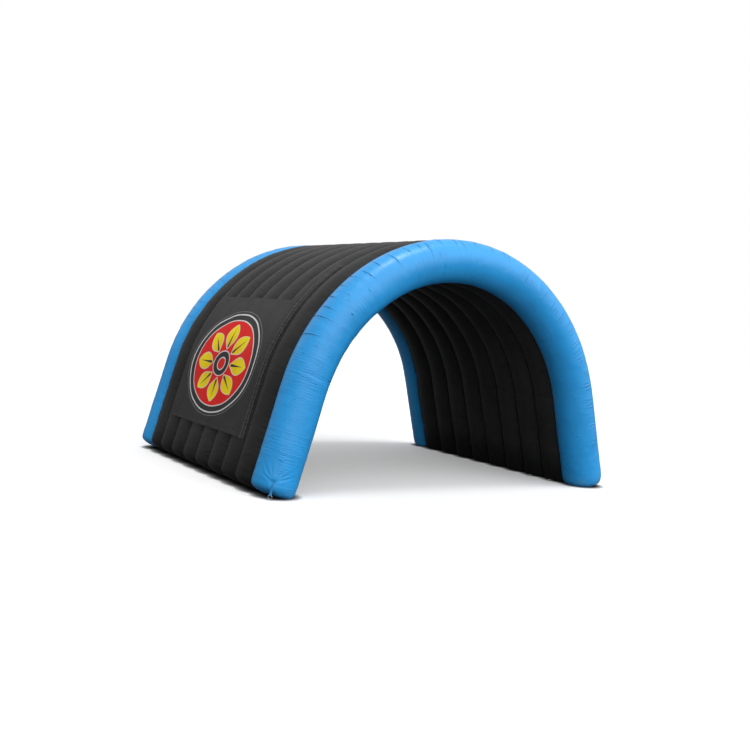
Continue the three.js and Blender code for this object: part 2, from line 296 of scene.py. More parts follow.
class Folds:
    """Depth of a cloth's folds, outwards, and the shade painted in their grooves, over a grid of
    distances along and around
    """

    def __init__(self, along, around):
        self.along, self.around = along, around
        self.depth = np.zeros((len(along), len(around)))
        self.shade = np.zeros_like(self.depth)

    def crease(self, along, around, reach, width, depth, turn=0.0, bend=0.0, dark=0.0, bank=0.35):
        """A groove with raised banks that runs around the tube, or turned from that, and fades.
        dark is the shade painted into the groove
        """
        span = abs(reach * math.sin(turn)) + 4 * width + abs(bend) * reach**2
        first, last = np.searchsorted(self.along, (along - span, along + span))
        if last <= first:
            return
        up = self.along[first:last, None] - along
        side = self.around[None, :] - around
        far = side * math.cos(turn) + up * math.sin(turn)
        off = (up * math.cos(turn) - side * math.sin(turn) - bend * far**2) / width
        fade = np.cos(np.clip(far / reach, -1, 1) * math.pi / 2) ** 2
        groove = np.exp(-(off**2))
        banks = np.exp(-((off - 1.9) ** 2)) + np.exp(-((off + 1.9) ** 2))
        self.depth[first:last] += depth * fade * (bank * banks - groove)
        # Painted shade in the groove, read by the materials as fold_shade
        self.shade[first:last] += dark * fade * groove

    def swell(self, rng, depth, cell_along, cell_around, closed=0.0):
        """Soft unevenness of the cloth, in cells of a size along and around"""
        cells = cell_along, cell_around, closed
        self.depth += depth * soft_noise(rng, self.along, self.around, *cells)

    def scatter(
        self, rng, count, along, around, reach, width, depth,
        lean=0.12, dark=0.0, gather=0, bank=0.35,
    ):
        """Many creases at random places, each size drawn between two bounds"""
        centre = sum(around) / 2
        for _ in range(count):
            spot = rng.uniform(*around)
            if gather:
                spot = centre + (spot - centre) * abs(rng.uniform(-1, 1)) ** gather
            self.crease(
                rng.uniform(*along), spot, rng.uniform(*reach), rng.uniform(*width),
                rng.uniform(*depth), turn=rng.normal(0, lean), bend=rng.normal(0, 0.25),
                dark=dark * rng.uniform(0.4, 1.0), bank=bank,
            )

    def puckers(self, rng, around, side, gap, reach, width, depth, dark):
        """Short creases at right angles to a seam, on one side of it or across it"""
        along = self.along[0]
        while along < self.along[-1]:
            along += rng.uniform(*gap)
            length = rng.uniform(*reach)
            self.crease(
                along, around + side * length * 0.35, length, rng.uniform(*width),
                rng.uniform(*depth), turn=rng.normal(0, 0.12), bend=rng.normal(0, 0.4), dark=dark,
            )


# ---------------------------------------------------------------- meshes


def enclosed_volume(points, faces):
    a, b, c = (points[faces[:, i]] for i in range(3))
    return float((a * np.cross(b, c)).sum() / 6)


def new_object(name, mesh):
    piece = bpy.data.objects.new(name, mesh)
    bpy.context.scene.collection.objects.link(piece)
    return piece


def grid_faces(rows, columns, closed):
    """Quads of a grid of points, as an array of four corners each"""
    wide = columns if closed else columns - 1
    i, j = np.meshgrid(np.arange(rows - 1), np.arange(wide), indexing="ij")
    k = (j + 1) % columns
    quads = np.stack(
        [i * columns + j, i * columns + k, (i + 1) * columns + k, (i + 1) * columns + j], -1
    )
    return quads.reshape(-1, 4)


def write_cloth_map(mesh, pairs):
    """UV map of the cloth's own distances, a pair for each corner of a face"""
    uv = mesh.uv_layers.new(name="cloth")
    uv.data.foreach_set("uv", pairs.astype(np.float32).ravel())


def write_value(mesh, key, values):
    """A named number for each point, for the materials"""
    attribute = mesh.attributes.new(key, "FLOAT", "POINT")
    attribute.data.foreach_set("value", values.astype(np.float32).ravel())


def end_caps(points, along):
    """Fans that close both ends of a tube: their hubs, triangles and distances along"""
    rows, columns = points.shape[:2]
    ends = (0, rows - 1)
    fans = []
    for number, row in enumerate(ends):
        ring = row * columns + np.arange(columns)
        fan = np.stack([np.full(columns, rows * columns + number), np.roll(ring, -1), ring], -1)
        fans.append(fan[:, ::-1] if row else fan)
    hubs = [points[row].mean(0) for row in ends]
    return hubs, np.concatenate(fans), np.repeat([along[row] for row in ends], columns * 3)


def grid_mesh(name, points, along, around, closed=False, values=None):
    """A mesh from a grid of points, with distances along and around as its UV map.
    A closed one has its columns joined into a tube with ends, and its faces point outwards."""
    rows, columns = points.shape[:2]
    coordinates = points.reshape(-1, 3)
    quads = grid_faces(rows, columns, closed)
    i, j = np.divmod(np.arange(len(quads)), columns if closed else columns - 1)
    if closed:
        around = np.append(around, around[-1] + (around[-1] - around[-2]))
    corner_u = np.stack([along[i], along[i], along[i + 1], along[i + 1]], -1)
    corner_v = np.stack([around[j], around[j + 1], around[j + 1], around[j]], -1)
    blocks = [(quads, corner_u, corner_v)]
    if closed:
        hubs, fans, fan_u = end_caps(points, along)
        coordinates = np.concatenate([coordinates, hubs])
        blocks.append((fans, fan_u.reshape(-1, 3), np.zeros(fans.shape)))
        whole = np.concatenate([quads[:, [0, 1, 2]], quads[:, [0, 2, 3]], fans])
        if enclosed_volume(coordinates, whole) < 0:
            blocks = [tuple(part[:, ::-1] for part in block) for block in blocks]
    faces, us, vs = (np.concatenate([block[k].ravel() for block in blocks]) for k in range(3))
    sizes = np.concatenate([np.full(len(block[0]), block[0].shape[1]) for block in blocks])
    mesh = bpy.data.meshes.new(name)
    mesh.vertices.add(len(coordinates))
    mesh.vertices.foreach_set("co", coordinates.astype(np.float32).ravel())
    mesh.loops.add(len(faces))
    mesh.loops.foreach_set("vertex_index", faces.astype(np.int32))
    mesh.polygons.add(len(sizes))
    mesh.polygons.foreach_set("loop_start", (np.cumsum(sizes) - sizes).astype(np.int32))
    mesh.update(calc_edges=True)
    write_cloth_map(mesh, np.stack([us, vs], -1))
    for key, grid in (values or {}).items():
        flat = np.zeros(len(coordinates))
        flat[: rows * columns] = np.broadcast_to(grid, (rows, columns)).ravel()
        write_value(mesh, key, flat)
    mesh.validate()
    return mesh


def cloth_object(name, points, folds, closed=False, **distances):
    """A new piece from a grid of points, with its folds' shade and its distances from seams"""
    values = {"fold_shade": np.clip(folds.shade, 0, 1), **distances}
    return new_object(name, grid_mesh(name, points, folds.along, folds.around, closed, values))


def select_none():
    bpy.ops.object.select_all(action="DESELECT")


def select_only(piece):
    select_none()
    piece.select_set(True)
    bpy.context.view_layer.objects.active = piece


def smooth(piece, degrees):
    select_only(piece)
    bpy.ops.object.shade_smooth_by_angle(angle=math.radians(degrees))


def thicken(piece, ply, offset=1.0):
    """Gives a sheet its thickness"""
    select_only(piece)
    solid = piece.modifiers.new("Ply", "SOLIDIFY")
    solid.thickness, solid.offset, solid.use_even_offset = ply, offset, False
    bpy.ops.object.modifier_apply(modifier=solid.name)


def settle(piece, material, slot, *nodes):
    """Gives a finished piece its material and body, and hides the CAD nodes that it stands for. Its
    slot is not used.
    """
    piece.data.materials.clear()
    piece.data.materials.append(material)
    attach(piece, "root")
    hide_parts(*nodes)
    return piece


# ---------------------------------------------------------------- shader nodes


class Value:
    """A node's output, which can be reckoned with and compared like a number"""

    def __init__(self, nodes, socket):
        self.nodes, self.socket = nodes, socket

    def __add__(self, other):
        return self.nodes.math("ADD", self, other)

    def __sub__(self, other):
        return self.nodes.math("SUBTRACT", self, other)

    def __rsub__(self, other):
        return self.nodes.math("SUBTRACT", other, self)

    def __mul__(self, other):
        return self.nodes.math("MULTIPLY", self, other)

    def __truediv__(self, other):
        return self.nodes.math("DIVIDE", self, other)

    def __lt__(self, other):
        return self.nodes.math("LESS_THAN", self, other)

    def __gt__(self, other):
        return self.nodes.math("GREATER_THAN", self, other)


# A mix node's two inputs for numbers, its two for colours and its output for a colour
MIX_NUMBERS, MIX_COLOURS, MIX_COLOUR_OUTPUT = (2, 3), (6, 7), 2


class Nodes:
    """Adds nodes to one tree, wiring numbers, colours or other nodes' outputs into them"""

    def __init__(self, tree):
        self.tree = tree

    def feed(self, socket, value):
        if isinstance(value, Value):
            self.tree.links.new(value.socket, socket)
        elif isinstance(value, (tuple, list)) and socket.type == "RGBA":
            socket.default_value = (*tuple(value)[:3], 1.0)
        else:
            socket.default_value = value

    def fill(self, node, inputs):
        """Feeds a node's inputs, each given by its name or number"""
        for key, value in inputs.items():
            self.feed(node.inputs[key], value)
        return node

    def outputs(self, node):
        return {socket.name: Value(self, socket) for socket in node.outputs}

    def add(self, kind, inputs=None, output=0, **settings):
        node = self.tree.nodes.new(kind)
        for key, value in settings.items():
            setattr(node, key, value)
        self.fill(node, inputs or {})
        return Value(self, node.outputs[output]) if node.outputs else node

    def math(self, operation, *values, clamp=False):
        inputs = dict(enumerate(values))
        return self.add("ShaderNodeMath", inputs, operation=operation, use_clamp=clamp)

    def mix(self, factor, a, b):
        """The colour a, or b where the factor is 1"""
        colours = dict(zip(MIX_COLOURS, (a, b)))
        return self.add(
            "ShaderNodeMix", {0: factor, **colours}, MIX_COLOUR_OUTPUT, data_type="RGBA"
        )

    def choose(self, factor, a, b):
        """The number a, or b where the factor is 1"""
        return self.add("ShaderNodeMix", {0: factor, **dict(zip(MIX_NUMBERS, (a, b)))})

    def between(self, value, low, high, start=0.0, end=1.0):
        """Runs smoothly from start to end while the value runs from low to high"""
        inputs = {0: value, 1: low, 2: high, 3: start, 4: end}
        return self.add("ShaderNodeMapRange", inputs, interpolation_type="SMOOTHSTEP")

    def noise(self, vector, scale, detail=2.0, roughness=0.5, distortion=0.0):
        inputs = {"Vector": vector, "Scale": scale, "Detail": detail}
        inputs.update(Roughness=roughness, Distortion=distortion)
        return self.add("ShaderNodeTexNoise", inputs)

    def split(self, vector):
        node = self.fill(self.tree.nodes.new("ShaderNodeSeparateXYZ"), {0: vector})
        return tuple(self.outputs(node).values())

    def attribute(self, name):
        return self.add("ShaderNodeAttribute", output="Fac", attribute_name=name)

    def fold_shade(self, most):
        return self.math("MINIMUM", self.attribute("fold_shade"), most)

    def uv(self):
        return self.add("ShaderNodeUVMap", uv_map="cloth")

    def place(self):
        return self.add("ShaderNodeTexCoord", output="Object")

    def light_path(self):
        return self.outputs(self.tree.nodes.new("ShaderNodeLightPath"))

    def effect(self, name, **inputs):
        """Outputs of one of this script's node groups, by name"""
        node = self.tree.nodes.new("ShaderNodeGroup")
        node.node_tree = bpy.data.node_groups.get(name) or effect_tree(name)
        self.fill(node, {key.replace("_", " "): value for key, value in inputs.items()})
        return self.outputs(node)

    def relief(self, *layers):
        """Normal of several heights on top of each other, each with its depth in metres"""
        normal = {}
        for height, depth in layers:
            inputs = {"Height": height, "Distance": depth, "Strength": 1.0, **normal}
            normal = {"Normal": self.add("ShaderNodeBump", inputs)}
        return normal["Normal"]


def weave(nodes, given):
    """Crossed threads of a woven cloth under its coating"""
    u, v, _ = nodes.split(given["Vector"])
    wave = [nodes.math("SINE", way * given["Threads"] * (2 * math.pi)) for way in (u, v)]
    uneven = nodes.noise(given["Vector"], 90.0)
    return {"Height": wave[0] * wave[1] + uneven * given["Unevenness"]}


def crinkle(nodes, given):
    """Fine folds that run around a tube, closer together than the mesh can show"""
    u, v, _ = nodes.split(given["Vector"])
    scaled = nodes.add("ShaderNodeCombineXYZ", {0: u * given["Along"], 1: v * given["Around"]})
    fine = nodes.noise(scaled, 1.0, 3.0, 0.55, 0.35)
    cover = nodes.between(nodes.noise(given["Vector"], 2.6), 0.38, 0.62)
    return {"Height": fine * cover}


def sewn_line(nodes, given):
    """A sewn seam beside a distance of nought: the line of its groove, which coated cloth darkens
    as painted shade, and its stitches
    """
    away = nodes.math("ABSOLUTE", given["Distance"])
    line = nodes.between(away, given["Half width"], given["Half width"] * 2.0, 1.0, 0.0)
    row = nodes.math("ABSOLUTE", away - given["Inset"])
    row = nodes.between(row, 0.0006, 0.0016, 1.0, 0.0)
    step = nodes.math("FRACT", given["Along"] / given["Pitch"])
    dash = nodes.between(nodes.math("ABSOLUTE", step - 0.5), 0.3, 0.4, 1.0, 0.0)
    return {"Line": line, "Stitch": row * dash}


# Height up to which painted shade darkens the cloth towards the ground
BASE_SHADE_HEIGHT = 0.42


def wear_and_base_shade(nodes, given):
    """Cloudy unevenness and rubbed spots all over, dust on what stands low, and painted shade that
    darkens what stands low
    """
    place = given["Vector"]
    cloud = nodes.between(nodes.noise(place, given["Scale"], 4.0, 0.55), 0.3, 0.7)
    _, _, height = nodes.split(place)
    fine = nodes.noise(place, 14.0, 4.0, 0.6)
    reach = given["Dust height"] * (fine * 2.0)
    low = nodes.math("SUBTRACT", 1.0, height / reach, clamp=True)
    return {
        "Cloud": cloud,
        "Dust": low * nodes.between(fine, 0.35, 0.7),
        # Painted shade: darkest at the ground, fading out up to the height above
        "Soil": nodes.between(height - fine * 0.14, 0.0, BASE_SHADE_HEIGHT, 1.0, 0.0),
        "Rub": nodes.between(nodes.noise(place, 9.0, 5.0, 0.65), 0.52, 0.74),
    }


# Each effect's own function and its inputs: a number's default, or None for a vector
EFFECTS = {
    "Weave": (weave, {"Vector": None, "Threads": 420.0, "Unevenness": 0.4}),
    "Crinkle": (crinkle, {"Vector": None, "Along": 38.0, "Around": 4.0}),
    "Sewn line": (
        sewn_line,
        {"Distance": 0.0, "Along": 0.0, "Half width": 0.004, "Pitch": 0.009, "Inset": 0.012},
    ),
    "Wear": (wear_and_base_shade, {"Vector": None, "Scale": 1.6, "Dust height": 0.16}),
}


def effect_tree(name):
    """A new node group for one effect, with named sockets"""
    wire, inputs = EFFECTS[name]
    tree = bpy.data.node_groups.new(name, "ShaderNodeTree")
    for key, default in inputs.items():
        kind = "NodeSocketVector" if default is None else "NodeSocketFloat"
        socket = tree.interface.new_socket(name=key, in_out="INPUT", socket_type=kind)
        if default is not None:
            socket.default_value = default
    nodes = Nodes(tree)
    found = wire(nodes, nodes.outputs(tree.nodes.new("NodeGroupInput")))
    for key in found:
        tree.interface.new_socket(name=key, in_out="OUTPUT", socket_type="NodeSocketFloat")
    nodes.fill(tree.nodes.new("NodeGroupOutput"), found)
    return tree


# ---------------------------------------------------------------- materials

DUST_TONE = (0.25, 0.23, 0.2)
# The looks below set painted shade in folds, along seams and towards the ground, and a painted
# highlight on fine folds
BLUE_LOOK = {
    "seam_shade_tone": (0.004, 0.012, 0.03), "cloud": 1.3, "dark": 0.93, "light": 1.06, "fine": 36.0,
    "long": 2.6, "crinkle_highlight": 0.3, "groove": 0.28, "seam": 0.006, "thread": (0.02, 0.10, 0.25),
    "dust": 0.25, "base_shade": 0.0, "rough": 0.36, "gloss": 0.55, "threads": 420.0, "crinkle": 0.0060,
}
BLUE_COAT = {"weight": 0.12, "rubbed": 0.06, "rough": 0.3}
BLACK_LOOK = {
    "seam_shade_tone": (0.004, 0.004, 0.004), "cloud": 1.1, "dark": 0.85, "light": 1.2, "fine": 30.0,
    "long": 4.0, "crinkle_highlight": 0.2, "groove": 0.4, "seam": 0.0035, "thread": (0.03, 0.03, 0.03),
    "dust": 0.05, "base_shade": 0.75, "rough": 0.50, "gloss": 0.17, "threads": 420.0, "crinkle": 0.0025,
}
BLACK_SHEEN = {"Sheen Weight": 0.03, "Sheen Roughness": 0.35}
# Share of the tone that is left where the painted shade at the base is darkest
BASE_SHADE_DARKNESS = 0.2
THREAD_DEPTH, SEAM_DEPTH, STITCH_DEPTH = 0.00004, 0.0015, 0.0006
# How near a thing darkens the floor as painted contact shadow, how fast, and the part of its light
# that the floor returns
CONTACT_REACH, CONTACT_DARKNESS, FLOOR_BOUNCE = 0.10, 2.2, 0.16
# The emblem: its petals, and on the banner its middle and half sizes, along and across
PETALS = 8
EMBLEM_MIDDLE, EMBLEM_HALF = (1.28, 0.0), (0.655, 0.945)


def new_material(name):
    """An empty material with its nodes' helper and its shader"""
    material = bpy.data.materials.new(name)
    material.use_nodes = True
    tree = material.node_tree
    tree.nodes.clear()
    shader = tree.nodes.new("ShaderNodeBsdfPrincipled")
    out = tree.nodes.new("ShaderNodeOutputMaterial")
    tree.links.new(shader.outputs[0], out.inputs[0])
    return material, Nodes(tree), shader


def shade(tone, share):
    """A darker or lighter tone"""
    return tuple(min(1, c * share) for c in tone)


def coated_cloth(name, tone, look):
    """Coated cloth, dusty low down, with painted shade in folds, along seams and at the base, and
    painted highlights on fine folds
    """
    material, nodes, shader = new_material(name)
    uv = nodes.uv()
    along, _, _ = nodes.split(uv)
    worn_and_shaded = nodes.effect("Wear", Vector=nodes.place(), Scale=look["cloud"])
    fold = nodes.effect("Crinkle", Vector=uv, Along=look["fine"], Around=look["long"])
    seam = nodes.attribute("seam_distance")
    sewn = nodes.effect("Sewn line", Distance=seam, Along=along, Half_width=look["seam"])
    light = shade(tone, look["light"])
    base = nodes.mix(worn_and_shaded["Cloud"], shade(tone, look["dark"]), light)
    for cover, paint in (
        # Painted highlight: a lighter tone on the high parts of the fine folds
        (fold["Height"] * look["crinkle_highlight"], light),
        # Painted shade in the creases' grooves
        (nodes.fold_shade(0.9), shade(tone, look["groove"])),
        # Painted shade along the seam's groove
        (sewn["Line"], look["seam_shade_tone"]),
        (sewn["Stitch"] * 0.6, look["thread"]),
        (worn_and_shaded["Dust"] * look["dust"], DUST_TONE),
        # Painted shade, darker towards the ground
        (worn_and_shaded["Soil"] * look["base_shade"], shade(tone, BASE_SHADE_DARKNESS)),
    ):
        base = nodes.mix(cover, base, paint)
    rough = nodes.between(worn_and_shaded["Rub"], 0.0, 1.0, look["rough"], look["rough"] + 0.12)
    rough = nodes.math("ADD", rough, sewn["Line"] * 0.25, clamp=True)
    rough = nodes.math("ADD", rough, worn_and_shaded["Dust"] * 0.3, clamp=True)
    threads = nodes.effect("Weave", Vector=uv, Threads=look["threads"], Unevenness=0.5)
    normal = nodes.relief(
        (threads["Height"], THREAD_DEPTH),
        (fold["Height"], look["crinkle"]),
        (sewn["Stitch"] * 0.4 - sewn["Line"], SEAM_DEPTH),
    )
    nodes.fill(shader, {
        "Base Color": base, "Roughness": rough, "Normal": normal,
        "Specular IOR Level": look["gloss"],
    })
    return material, nodes, shader, worn_and_shaded


def blue_cloth(colours):
    """Coated cloth of the end tubes, with a clear coat that is rubbed off in places"""
    material, nodes, shader, worn_and_shaded = coated_cloth("Blue coated cloth", colours.blue, BLUE_LOOK)
    coat = nodes.between(worn_and_shaded["Rub"], 0.0, 1.0, BLUE_COAT["weight"], BLUE_COAT["rubbed"])
    nodes.fill(shader, {"Coat Weight": coat, "Coat Roughness": BLUE_COAT["rough"]})
    return material


def black_cloth(colours):
    """Coated cloth of the ribs, with a faint sheen"""
    material, nodes, shader, _ = coated_cloth("Black coated cloth", colours.black, BLACK_LOOK)
    nodes.fill(shader, BLACK_SHEEN)
    return material


def petal_distances(nodes, x, y):
    """Distance from the rosette's middle, distance from the nearest petal's middle line and
    distance inside that petal's edge"""
    reach = nodes.math("SQRT", x * x + y * y)
    step = nodes.math("ARCTAN2", x, y) * (PETALS / (2 * math.pi))
    fold = nodes.math("FRACT", step + 100.5) - 0.5
    side = nodes.math("ABSOLUTE", fold * (2 * math.pi / PETALS)) * reach
    inner, outer = 0.25, 0.735
    spot = nodes.math("DIVIDE", reach - inner, outer - inner, clamp=True)
    bulge = nodes.math("SINE", nodes.math("POWER", spot, 1.25) * math.pi)
    bulge = nodes.math("POWER", nodes.math("MAXIMUM", bulge, 0.0), 0.8)
    return reach, side, bulge * 0.165 - side


def emblem(nodes, uv, colours):
    """Oval rosette of eight petals inside rings, from the banner's own distances.
    Returns its colour and where it covers the cloth."""
    along, across, _ = nodes.split(uv)
    x = (across - EMBLEM_MIDDLE[1]) / EMBLEM_HALF[1]
    y = (along - EMBLEM_MIDDLE[0]) / EMBLEM_HALF[0]
    reach, side, edge = petal_distances(nodes, x, y)
    black, white, red = tuple(colours.banner), tuple(colours.white), tuple(colours.red)

    def rings(paint, *limits):
        for limit, tone in limits:
            paint = nodes.mix(reach < limit, paint, tone)
        return paint

    paint = nodes.mix(reach < 0.99, tuple(colours.grey), black)
    paint = rings(paint, (0.945, white), (0.918, black), (0.822, white), (0.80, red))
    deep = tuple(c * s for c, s in zip(colours.yellow, (0.98, 0.78, 1.0)))
    golden = nodes.mix(nodes.between(reach, 0.3, 0.7), deep, tuple(colours.yellow))
    vein = (side < (0.66 - reach) * 0.07) * (edge > 0.03)
    for cover, tone in ((edge > 0.0, white), (edge > 0.014, golden), (vein, black)):
        paint = nodes.mix(cover, paint, tone)
    paint = rings(paint, (0.235, white), (0.215, black), (0.12, white), (0.10, red))
    return paint, reach < 1.0


def banner_material(sizes, colours):
    """Printed banner cloth with a generic rosette, sewn hems and a fine weave"""
    material, nodes, shader = new_material("Banner print")
    uv, tone = nodes.uv(), colours.banner
    along, across, _ = nodes.split(uv)
    worn_and_shaded = nodes.effect("Wear", Vector=nodes.place(), Scale=1.7)
    sewn = nodes.effect(
        "Sewn line", Distance=nodes.attribute("edge_distance"), Along=along + across,
        Half_width=0.002, Pitch=0.03, Inset=sizes.hem - 0.006,
    )
    paint, cover = emblem(nodes, uv, colours)
    base = nodes.mix(worn_and_shaded["Cloud"], shade(tone, 0.88), shade(tone, 1.2))
    # Painted shade in the banner's creases
    base = nodes.mix(nodes.fold_shade(0.8), base, shade(tone, 0.4))
    base = nodes.mix((1.0 - worn_and_shaded["Rub"] * 0.10) * cover, base, paint)
    rubbed = sewn["Stitch"] * nodes.between(worn_and_shaded["Rub"], 0.0, 0.6, 0.35, 1.0)
    base = nodes.mix(rubbed, base, (0.16, 0.16, 0.16))
    threads = nodes.effect("Weave", Vector=uv, Threads=480.0, Unevenness=0.6)
    fold = nodes.effect("Crinkle", Vector=uv, Along=9.0, Around=9.0)
    normal = nodes.relief(
        (threads["Height"], 0.00005), (fold["Height"], 0.002), (sewn["Stitch"], STITCH_DEPTH)
    )
    rough = nodes.between(worn_and_shaded["Cloud"], 0.0, 1.0, 0.44, 0.56)
    nodes.fill(shader, {
        "Base Color": base, "Roughness": rough, "Normal": normal, "Specular IOR Level": 0.16,
    })
    return material


def webbing(name, tone, light, pitch=0.0016):
    """Woven webbing: ribs across, a sewn row beside each edge and lighter rubbed edges"""
    material, nodes, shader = new_material(name)
    uv = nodes.uv()
    along, _, _ = nodes.split(uv)
    worn_and_shaded = nodes.effect("Wear", Vector=nodes.place(), Scale=6.0)
    edge = nodes.attribute("edge_distance")
    sewn = nodes.effect(
        "Sewn line", Distance=edge, Along=along, Half_width=0.0001, Pitch=0.006, Inset=0.0045
    )
    base = nodes.mix(worn_and_shaded["Cloud"], shade(tone, 0.8), shade(tone, 1.25))
    for cover, paint in (
        (nodes.between(edge, 0.002, 0.009, 1.0, 0.0) * 0.75, light),
        (sewn["Stitch"] * 0.7, light),
        # Painted shade in the creases and the sewn middle groove
        (nodes.fold_shade(0.95), shade(tone, 0.25)),
        (worn_and_shaded["Dust"] * 0.2, DUST_TONE),
    ):
        base = nodes.mix(cover, base, paint)
    ribs = nodes.math("SINE", along * (2 * math.pi / pitch))
    threads = nodes.effect("Weave", Vector=uv, Threads=500.0, Unevenness=0.5)
    normal = nodes.relief((ribs + threads["Height"], 0.0002), (sewn["Stitch"], STITCH_DEPTH))
    rough = nodes.between(worn_and_shaded["Rub"], 0.0, 1.0, 0.6, 0.8)
    nodes.fill(shader, {"Base Color": base, "Roughness": rough, "Normal": normal})
    return material


def ring_material(tone):
    """Bright plated steel with fine scratches and a little tarnish"""
    material, nodes, shader = new_material("Ring steel")
    place = nodes.place()
    worn_and_shaded = nodes.effect("Wear", Vector=place, Scale=60.0, Dust_height=0.03)
    stretched = nodes.add("ShaderNodeMapping", {"Vector": place, "Scale": (900.0, 900.0, 60.0)})
    nodes.fill(shader, {
        "Base Color": nodes.mix(worn_and_shaded["Cloud"], shade(tone, 1.1), shade(tone, 0.75)),
        "Metallic": 1.0,
        "Roughness": nodes.between(worn_and_shaded["Rub"], 0.0, 1.0, 0.18, 0.42),
        "Normal": nodes.relief((nodes.noise(stretched, 1.0), 0.00004)),
    })
    return material


def floor_material(tone, glow):
    """Plain pale floor with no gloss. Light of its own keeps its shadows pale, and it throws
    little light back on what stands on it."""
    material, nodes, shader = new_material("Studio floor")
    seen = nodes.light_path()["Is Camera Ray"]
    pale = nodes.mix(nodes.noise(nodes.place(), 0.4), shade(tone, 0.99), shade(tone, 1.01))
    # Painted contact shadow: occlusion darkens the floor's colour and its own light near what
    # stands on it
    near = nodes.add(
        "ShaderNodeAmbientOcclusion", {"Distance": CONTACT_REACH}, "AO", samples=16
    )
    near = nodes.math("POWER", near, CONTACT_DARKNESS)
    pale = nodes.mix(near, (0, 0, 0), pale)
    nodes.fill(shader, {
        "Base Color": nodes.mix(seen, shade(tone, FLOOR_BOUNCE), pale),
        "Roughness": 1.0,
        "Specular IOR Level": 0.0,
        "Emission Color": (1, 1, 1),
        "Emission Strength": near * glow * seen,
    })
    return material


# ---------------------------------------------------------------- shapes of the pieces

# Columns of a tube's grid where the ribs lie on it, and on its free side
TUBE_CONTACT_STEPS, TUBE_FREE_STEPS = 14, 82
CLOTH_GAP = 0.0004
# How far the seams wander beside a tube, as an angle, and between two ribs
SEAM_WAVER, VALLEY_WAVER = math.radians(1.7), 0.0035
WAVER_SEED = 500
# How far from a seam a tube's and a rib's folds come up to their full depth
TUBE_SEAM_REACH, RIB_SEAM_REACH = 0.02, 0.016


def tube_angles(seam, contact, free):
    """Angles around a tube from straight outwards: where the ribs lie on it, then the free side"""
    facing = np.linspace(seam, math.pi - seam, contact, endpoint=False)
    rest = np.linspace(math.pi - seam, 2 * math.pi + seam, free, endpoint=False)
    return np.concatenate([facing, rest])


def waver(number, along, cell):
    """How a sewn seam wanders from its true line, the same for both pieces that it joins"""
    rng = np.random.default_rng(WAVER_SEED + number)
    return soft_noise(rng, along, np.zeros(1), cell, 1.0)[:, 0]


def seam_turns(side, inner, along):
    """Wander of the seam between a tube and its rib, as an angle around the tube"""
    number = (0 if side > 0 else 2) + (1 if inner else 0)
    return SEAM_WAVER * (waver(number, along, 0.16) + 0.5 * waver(number + 10, along, 0.05))


def fade_in(value, low, high):
    t = np.clip((value - low) / (high - low), 0, 1)
    return t * t * (3 - 2 * t)


class Tube:
    """One end tube as a grid of points, with the side that its ribs lie on turned inwards"""

    def __init__(self, sizes, line, node, side, rows, columns):
        self.radius, self.seam, self.side = sizes.tube_radius, sizes.seam_angle, side
        self.middle = middle(node, 1)
        self.stations = line.stations(*rows)
        self.along = self.stations[:, 0]
        self.angles = tube_angles(self.seam, *columns)
        self.around = self.radius * self.angles
        self.folds = Folds(self.along, self.around)
        self.first = self.radius * (math.pi - self.seam)
        self.last = self.radius * (2 * math.pi + self.seam)
        self.leg, self.length = line.leg, 2 * line.crown

    def at(self, degrees):
        """Distance around the tube of an angle from straight outwards"""
        return self.radius * math.radians(degrees)

    def seam_distance(self):
        """Distance from the nearer seam, and nought where the ribs hide the cloth beside the
        outer seam, so that the seam's line of painted shade closes round the tube"""
        outer, inner = (
            seam_turns(self.side, inside, self.along)[:, None] * self.radius
            for inside in (False, True)
        )
        away = np.minimum(
            np.abs(self.last + outer - self.around), np.abs(self.around - self.first + inner)
        )
        away[:, : TUBE_CONTACT_STEPS // 2] = 0
        return away

    def piece(self, name):
        free = fade_in(self.around, self.first, self.first + TUBE_SEAM_REACH)
        free = free * fade_in(-self.around, -self.last, -self.last + TUBE_SEAM_REACH)
        radius = self.radius + self.folds.depth * free
        sideways = self.side * radius * np.sin(self.angles) * self.stations[:, 5, None]
        points = place(self.stations, self.middle + sideways, radius * np.cos(self.angles))
        return cloth_object(name, points, self.folds, True, seam_distance=self.seam_distance())


# Fine creases of an end tube, a row for each stretch: how many, the distances along it and the
# angles around it between which they lie, how far they reach and how much shade is painted in their
# grooves
TUBE_CREASES = (
    (190, (0.25, 1.40), (225, 350), (0.04, 0.12), 0.066),
    (170, (1.20, 2.30), (225, 372), (0.05, 0.14), 0.075),
    (190, (2.20, 3.60), (215, 392), (0.05, 0.17), 0.075),
    (90, (3.50, 4.60), (220, 398), (0.05, 0.15), 0.075),
    (80, (4.40, 6.30), (150, 398), (0.04, 0.13), 0.066),
    (90, (6.20, 7.70), (150, 398), (0.04, 0.12), 0.066),
    (220, (0.10, 3.80), (140, 220), (0.05, 0.16), 0.075),
    (110, (3.80, 7.60), (140, 220), (0.05, 0.16), 0.075),
)


